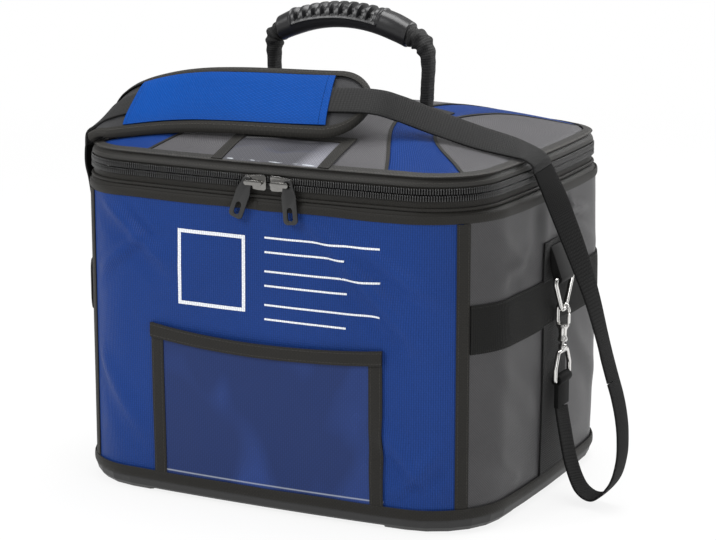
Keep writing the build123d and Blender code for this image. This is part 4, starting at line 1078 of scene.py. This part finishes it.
def padPlace(side):
    def place(u, v):
        t = 0.999 * u
        where, across, up = routeFrame(strapRoute["pad"], t)
        half = max(0.002, padWidth(t)) - 0.0004
        w = 2 * v - 1
        roundOff = math.sqrt(max(0.0, 1 - w ** 6)) * (0.35 + 0.65 * math.sqrt(max(0.0, 1 - (1 - min(1.0, u / 0.02)) ** 2)))
        swell = (padShape["thick"] * 0.55 + padShape["swell"] * (1 - w * w)) * roundOff
        swell += 0.0004 * noise.noise(where * 40 + Vector((0, 0, side)))
        return where + across * (w * half) + up * side * swell
    return place


padTop = cloth("padTop", 150, 26, (0.26, 0.07), padPlace(1), 0, "padGrey", "lid")
padUnder = cloth("padUnder", 150, 26, (0.26, 0.07), padPlace(-1), 0, "tapeWide", "lid")
pad = joined([padTop, padUnder], "shoulderPad")
closeShell(pad, threshold=0.0003)
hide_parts("shoulder_pad_base")


def bindingLoop(u, v):
    # tape folded round the pad's edge, along the far side, round the right end and back along the near side
    t, side = (u * 2, 1) if u * 2 <= 1 else (2 - u * 2, -1)
    t = min(0.9985, max(0.001, t))
    where, across, up = routeFrame(strapRoute["pad"], t)
    edge = where + across * side * (max(0.0015, padWidth(t)) + 0.0004)
    a = (v - 0.5) * math.pi
    folded = across * -side * padShape["fold"] * (abs(2 * v - 1)) ** 1.3
    return edge + folded + up * (padShape["bound"] * math.sin(a) + 0.0006 * (1 if v > 0.5 else -1))


cloth("padBinding", 300, 12, (0.6, 0.0115), bindingLoop, 0.0008, "tape", "lid", offset=1)
sleeve = {"front": (0.300, 0.885), "back": (0.335, 0.865), "half": 0.0262, "lift": 0.0054, "crown": 0.0021, "thick": 0.0012}


def sleevePlace(u, v):
    # u across the pad from its front edge, v along it
    start, end = (sleeve["front"][k] + (sleeve["back"][k] - sleeve["front"][k]) * u for k in range(2))
    where, across, up = routeFrame(strapRoute["pad"], start * (1 - v) + end * v)
    lift = sleeve["lift"] + sleeve["crown"] * crowned(u) + 0.0006 * noise.noise(where * 22)
    return where + across * ((2 * u - 1) * sleeve["half"]) + up * lift


padSleeve = cloth("padSleeve", 26, 110, (0.053, 0.18), sleevePlace, sleeve["thick"], "padBlue",
                  "lid", "shoulder_pad_cover", offset=1)
print("strap ready")


# rings, hooks and eyes of bent wire, then the sliders, pulls, hangers and tabs
wire = {"plane": 0.2046, "ring": 0.0021, "ringCorners": ((-0.0205, 0.190), (0.0, 0.155), (0.0205, 0.190)),
        "ringBends": (0.003, 0.007, 0.003), "eye": 0.0020, "eyeBends": (0.0025, 0.004, 0.004, 0.004, 0.004, 0.0025),
        "eyeCorners": ((-0.0155, 0.102), (-0.0155, 0.113), (-0.0092, 0.126),
                       (0.0092, 0.126), (0.0155, 0.113), (0.0155, 0.102)),
        "stem": 0.0019, "stemAt": (0.1255, 0.130, 0.1368), "collar": 0.0034, "collarAt": (0.1262, 0.1285, 0.1312),
        "hook": 0.0017, "hookTip": 0.0011, "hookBend": 0.0050, "hookMiddle": 0.1613, "hookFoot": (0.1475, 0.1515, 0.1565),
        "hookEnd": (0.1600, 0.1592), "shankAt": (0.1496, 0.1490, 0.1475, 0.1462, 0.1440, 0.1385, 0.1370, 0.1350, 0.1340),
        "shank": (0.0036, 0.0052, 0.0055, 0.0046, 0.0036, 0.0033, 0.0040, 0.0042, 0.0036)}


def roundedLoop(corners, bends, steps):
    # points round a closed outline whose corners are bent to a radius
    result = []
    for index, (corner, radius) in enumerate(zip(corners, bends)):
        corner = Vector(corner)
        back = (Vector(corners[index - 1]) - corner).normalized()
        onward = (Vector(corners[(index + 1) % len(corners)]) - corner).normalized()
        half = math.acos(back.dot(onward)) / 2
        centre = corner + (back + onward).normalized() * (radius / math.sin(half))
        start = corner + back * (radius / math.tan(half)) - centre
        turn = (math.pi - 2 * half) * (1 if back.x * onward.y - back.y * onward.x < 0 else -1)
        for step in range(steps + 1):
            cos, sin = math.cos(turn * step / steps), math.sin(turn * step / steps)
            result.append(centre + Vector((start.x * cos - start.y * sin, start.x * sin + start.y * cos)))
    return result


def wireTube(name, sign, points, radius, body, closed=False, facing=False):
    # facing turns the wire's plane from the side of the bag to its front; radius may be one for each point
    points = [Vector(point) for point in points]
    count = len(points) if closed else len(points) - 1
    radii = radius if isinstance(radius, (list, tuple)) else [radius] * len(points)

    def place(u, v):
        index = int(round(u * count))
        here, thick = points[index % len(points)], radii[index % len(points)]
        if closed:
            before, after = points[(index - 1) % len(points)], points[(index + 1) % len(points)]
        else:
            before, after = points[max(0, index - 1)], points[min(count, index + 1)]
        along = (after - before).normalized()
        a = v * 2 * math.pi
        flat, off = here.x + along.y * thick * math.sin(a), thick * math.cos(a)
        x, y = (flat, -off) if facing else (off, flat)
        return Vector((sign * (wire["plane"] + x), y, here.y - along.x * thick * math.sin(a)))

    piece = cloth(name, count, 14, (0.1, 0.01), place, 0, "metal", body, joinEnds=True)
    closeShell(piece, openEnds=not closed)
    return piece


def upright(heights):
    return [(0, z) for z in heights]


bend = wire["hookBend"]
bow = list(zip((-bend * 0.7, -bend, -bend), wire["hookFoot"]))
bow += [(-bend * math.cos(k * math.pi / 10), wire["hookMiddle"] + bend * math.sin(k * math.pi / 10)) for k in range(11)]
bow += [(bend, z) for z in wire["hookEnd"]]
bowRadii = [wire["hook"]] * (len(bow) - 1) + [wire["hookTip"]]
hardParts = (("hook_gate_", "Gate", "metal", "gate_body_", 0.0003), ("zip_slider_", "Slider", "slider", "slider_", 0.0004),
             ("zip_pull_", "Pull", "pull", "pull_", 0.0004), ("ring_hanger_", "Hanger", "strap", "bag", 0.0005),
             ("strap_tab_", "Tab", "strapPaintedDarker", "strap_end_", 0.0005))
for side, sign in (("left", -1), ("right", 1)):
    loop = roundedLoop(wire["ringCorners"], wire["ringBends"], 8)
    ring = wireTube(side + "Ring", sign, loop, wire["ring"], "ring_body_" + side, closed=True)
    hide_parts("ring_" + side)
    loop = roundedLoop(wire["eyeCorners"], wire["eyeBends"], 5)
    eye = wireTube(side + "Eye", sign, loop, wire["eye"], "strap_end_" + side, closed=True)
    stem = wireTube(side + "Stem", sign, upright(wire["stemAt"]), wire["stem"], "strap_end_" + side)
    collar = wireTube(side + "Collar", sign, upright(wire["collarAt"]), wire["collar"], "strap_end_" + side)
    joined([eye, stem, collar], side + "Eye", "strap_eye_" + side)
    hook = wireTube(side + "Bow", sign, bow, bowRadii, "hook_body_" + side, facing=True)
    shank = wireTube(side + "Shank", sign, upright(wire["shankAt"]), wire["shank"], "hook_body_" + side)
    joined([hook, shank], side + "Hook", "snap_hook_" + side)
    for node, label, tone, body, bevel in hardParts:
        refined(node + side, side + label, tone, body if body == "bag" else body + side, bevel)
kept = {"base_tray": "tray", "base_board": "board", "foam_floor": "foam", "foam_front_back": "foam", "foam_sides": "foam",
        "lid_foam": "foam", "inner_liner": "liner", "lid_liner": "liner"}
for node, tone in kept.items():
    nodes[node].data.materials.clear()
    nodes[node].data.materials.append(finish[tone])
print("metal ready")


# studio
studio = {"floor": 16.0, "pale": (0.86, 0.86, 0.86, 1), "near": 0.84, "fade": 0.075, "world": 0.36}
lamps = {  # place, the height it aims at, size, power
    "keyLamp": ((-1.3, -1.7, 1.7), 0.18, 1.1, 38), "fillLamp": ((1.9, -1.0, 0.9), 0.18, 1.2, 12),
    "topLamp": ((0.1, 0.3, 2.1), 0.2, 1.4, 42), "backLamp": ((0.8, 1.8, 1.3), 0.2, 1.0, 16)}
freshen()
bpy.ops.mesh.primitive_plane_add(size=studio["floor"], location=(0, 0, 0))
floor = bpy.context.object
floor.name = "studioFloor"
material, tree, shader = startMaterial("paleFloor")
add, link, calc = wiring(tree)
shader.inputs["Base Color"].default_value = studio["pale"]
shader.inputs["Roughness"].default_value = 0.9
shader.inputs["Specular IOR Level"].default_value = 0.0
glow, rays, blend = add("ShaderNodeEmission"), add("ShaderNodeLightPath"), add("ShaderNodeMixShader")
glow.inputs[0].default_value = (1, 1, 1, 1)
seen = calc("MAXIMUM", rays.outputs["Is Glossy Ray"], rays.outputs["Is Transmission Ray"])
seen = calc("MAXIMUM", rays.outputs["Is Camera Ray"], seen)
place, away = add("ShaderNodeTexCoord"), add("ShaderNodeVectorMath")
away.operation = "LENGTH"
link(place.outputs["Object"], away.inputs[0])
bright = calc("MINIMUM", calc("MULTIPLY_ADD", away.outputs["Value"], studio["fade"], studio["near"]), 1.0)
link(calc("MULTIPLY", seen, bright), blend.inputs[0])
link(shader.outputs[0], blend.inputs[1])
link(glow.outputs[0], blend.inputs[2])
link(blend.outputs[0], tree.nodes["Material Output"].inputs[0])
floor.data.materials.append(material)

world = bpy.data.worlds.new("studioAir")
scene.world = world
world.use_nodes = True
air = world.node_tree.nodes["Background"]
air.inputs[0].default_value = (1, 1, 1, 1)
add, link, calc = wiring(world.node_tree)
rays = add("ShaderNodeLightPath")
seen = calc("MAXIMUM", rays.outputs["Is Camera Ray"], rays.outputs["Is Transmission Ray"])
link(calc("MULTIPLY_ADD", seen, 1 - studio["world"], studio["world"]), air.inputs[1])

for name, (spot, height, size, power) in lamps.items():
    bpy.ops.object.light_add(type="AREA", location=spot)
    light = bpy.context.object
    light.name = name
    light.data.size = size
    light.data.energy = power
    light.rotation_euler = (Vector((0, 0, height)) - Vector(spot)).to_track_quat("-Z", "Y").to_euler()
print("studio ready")
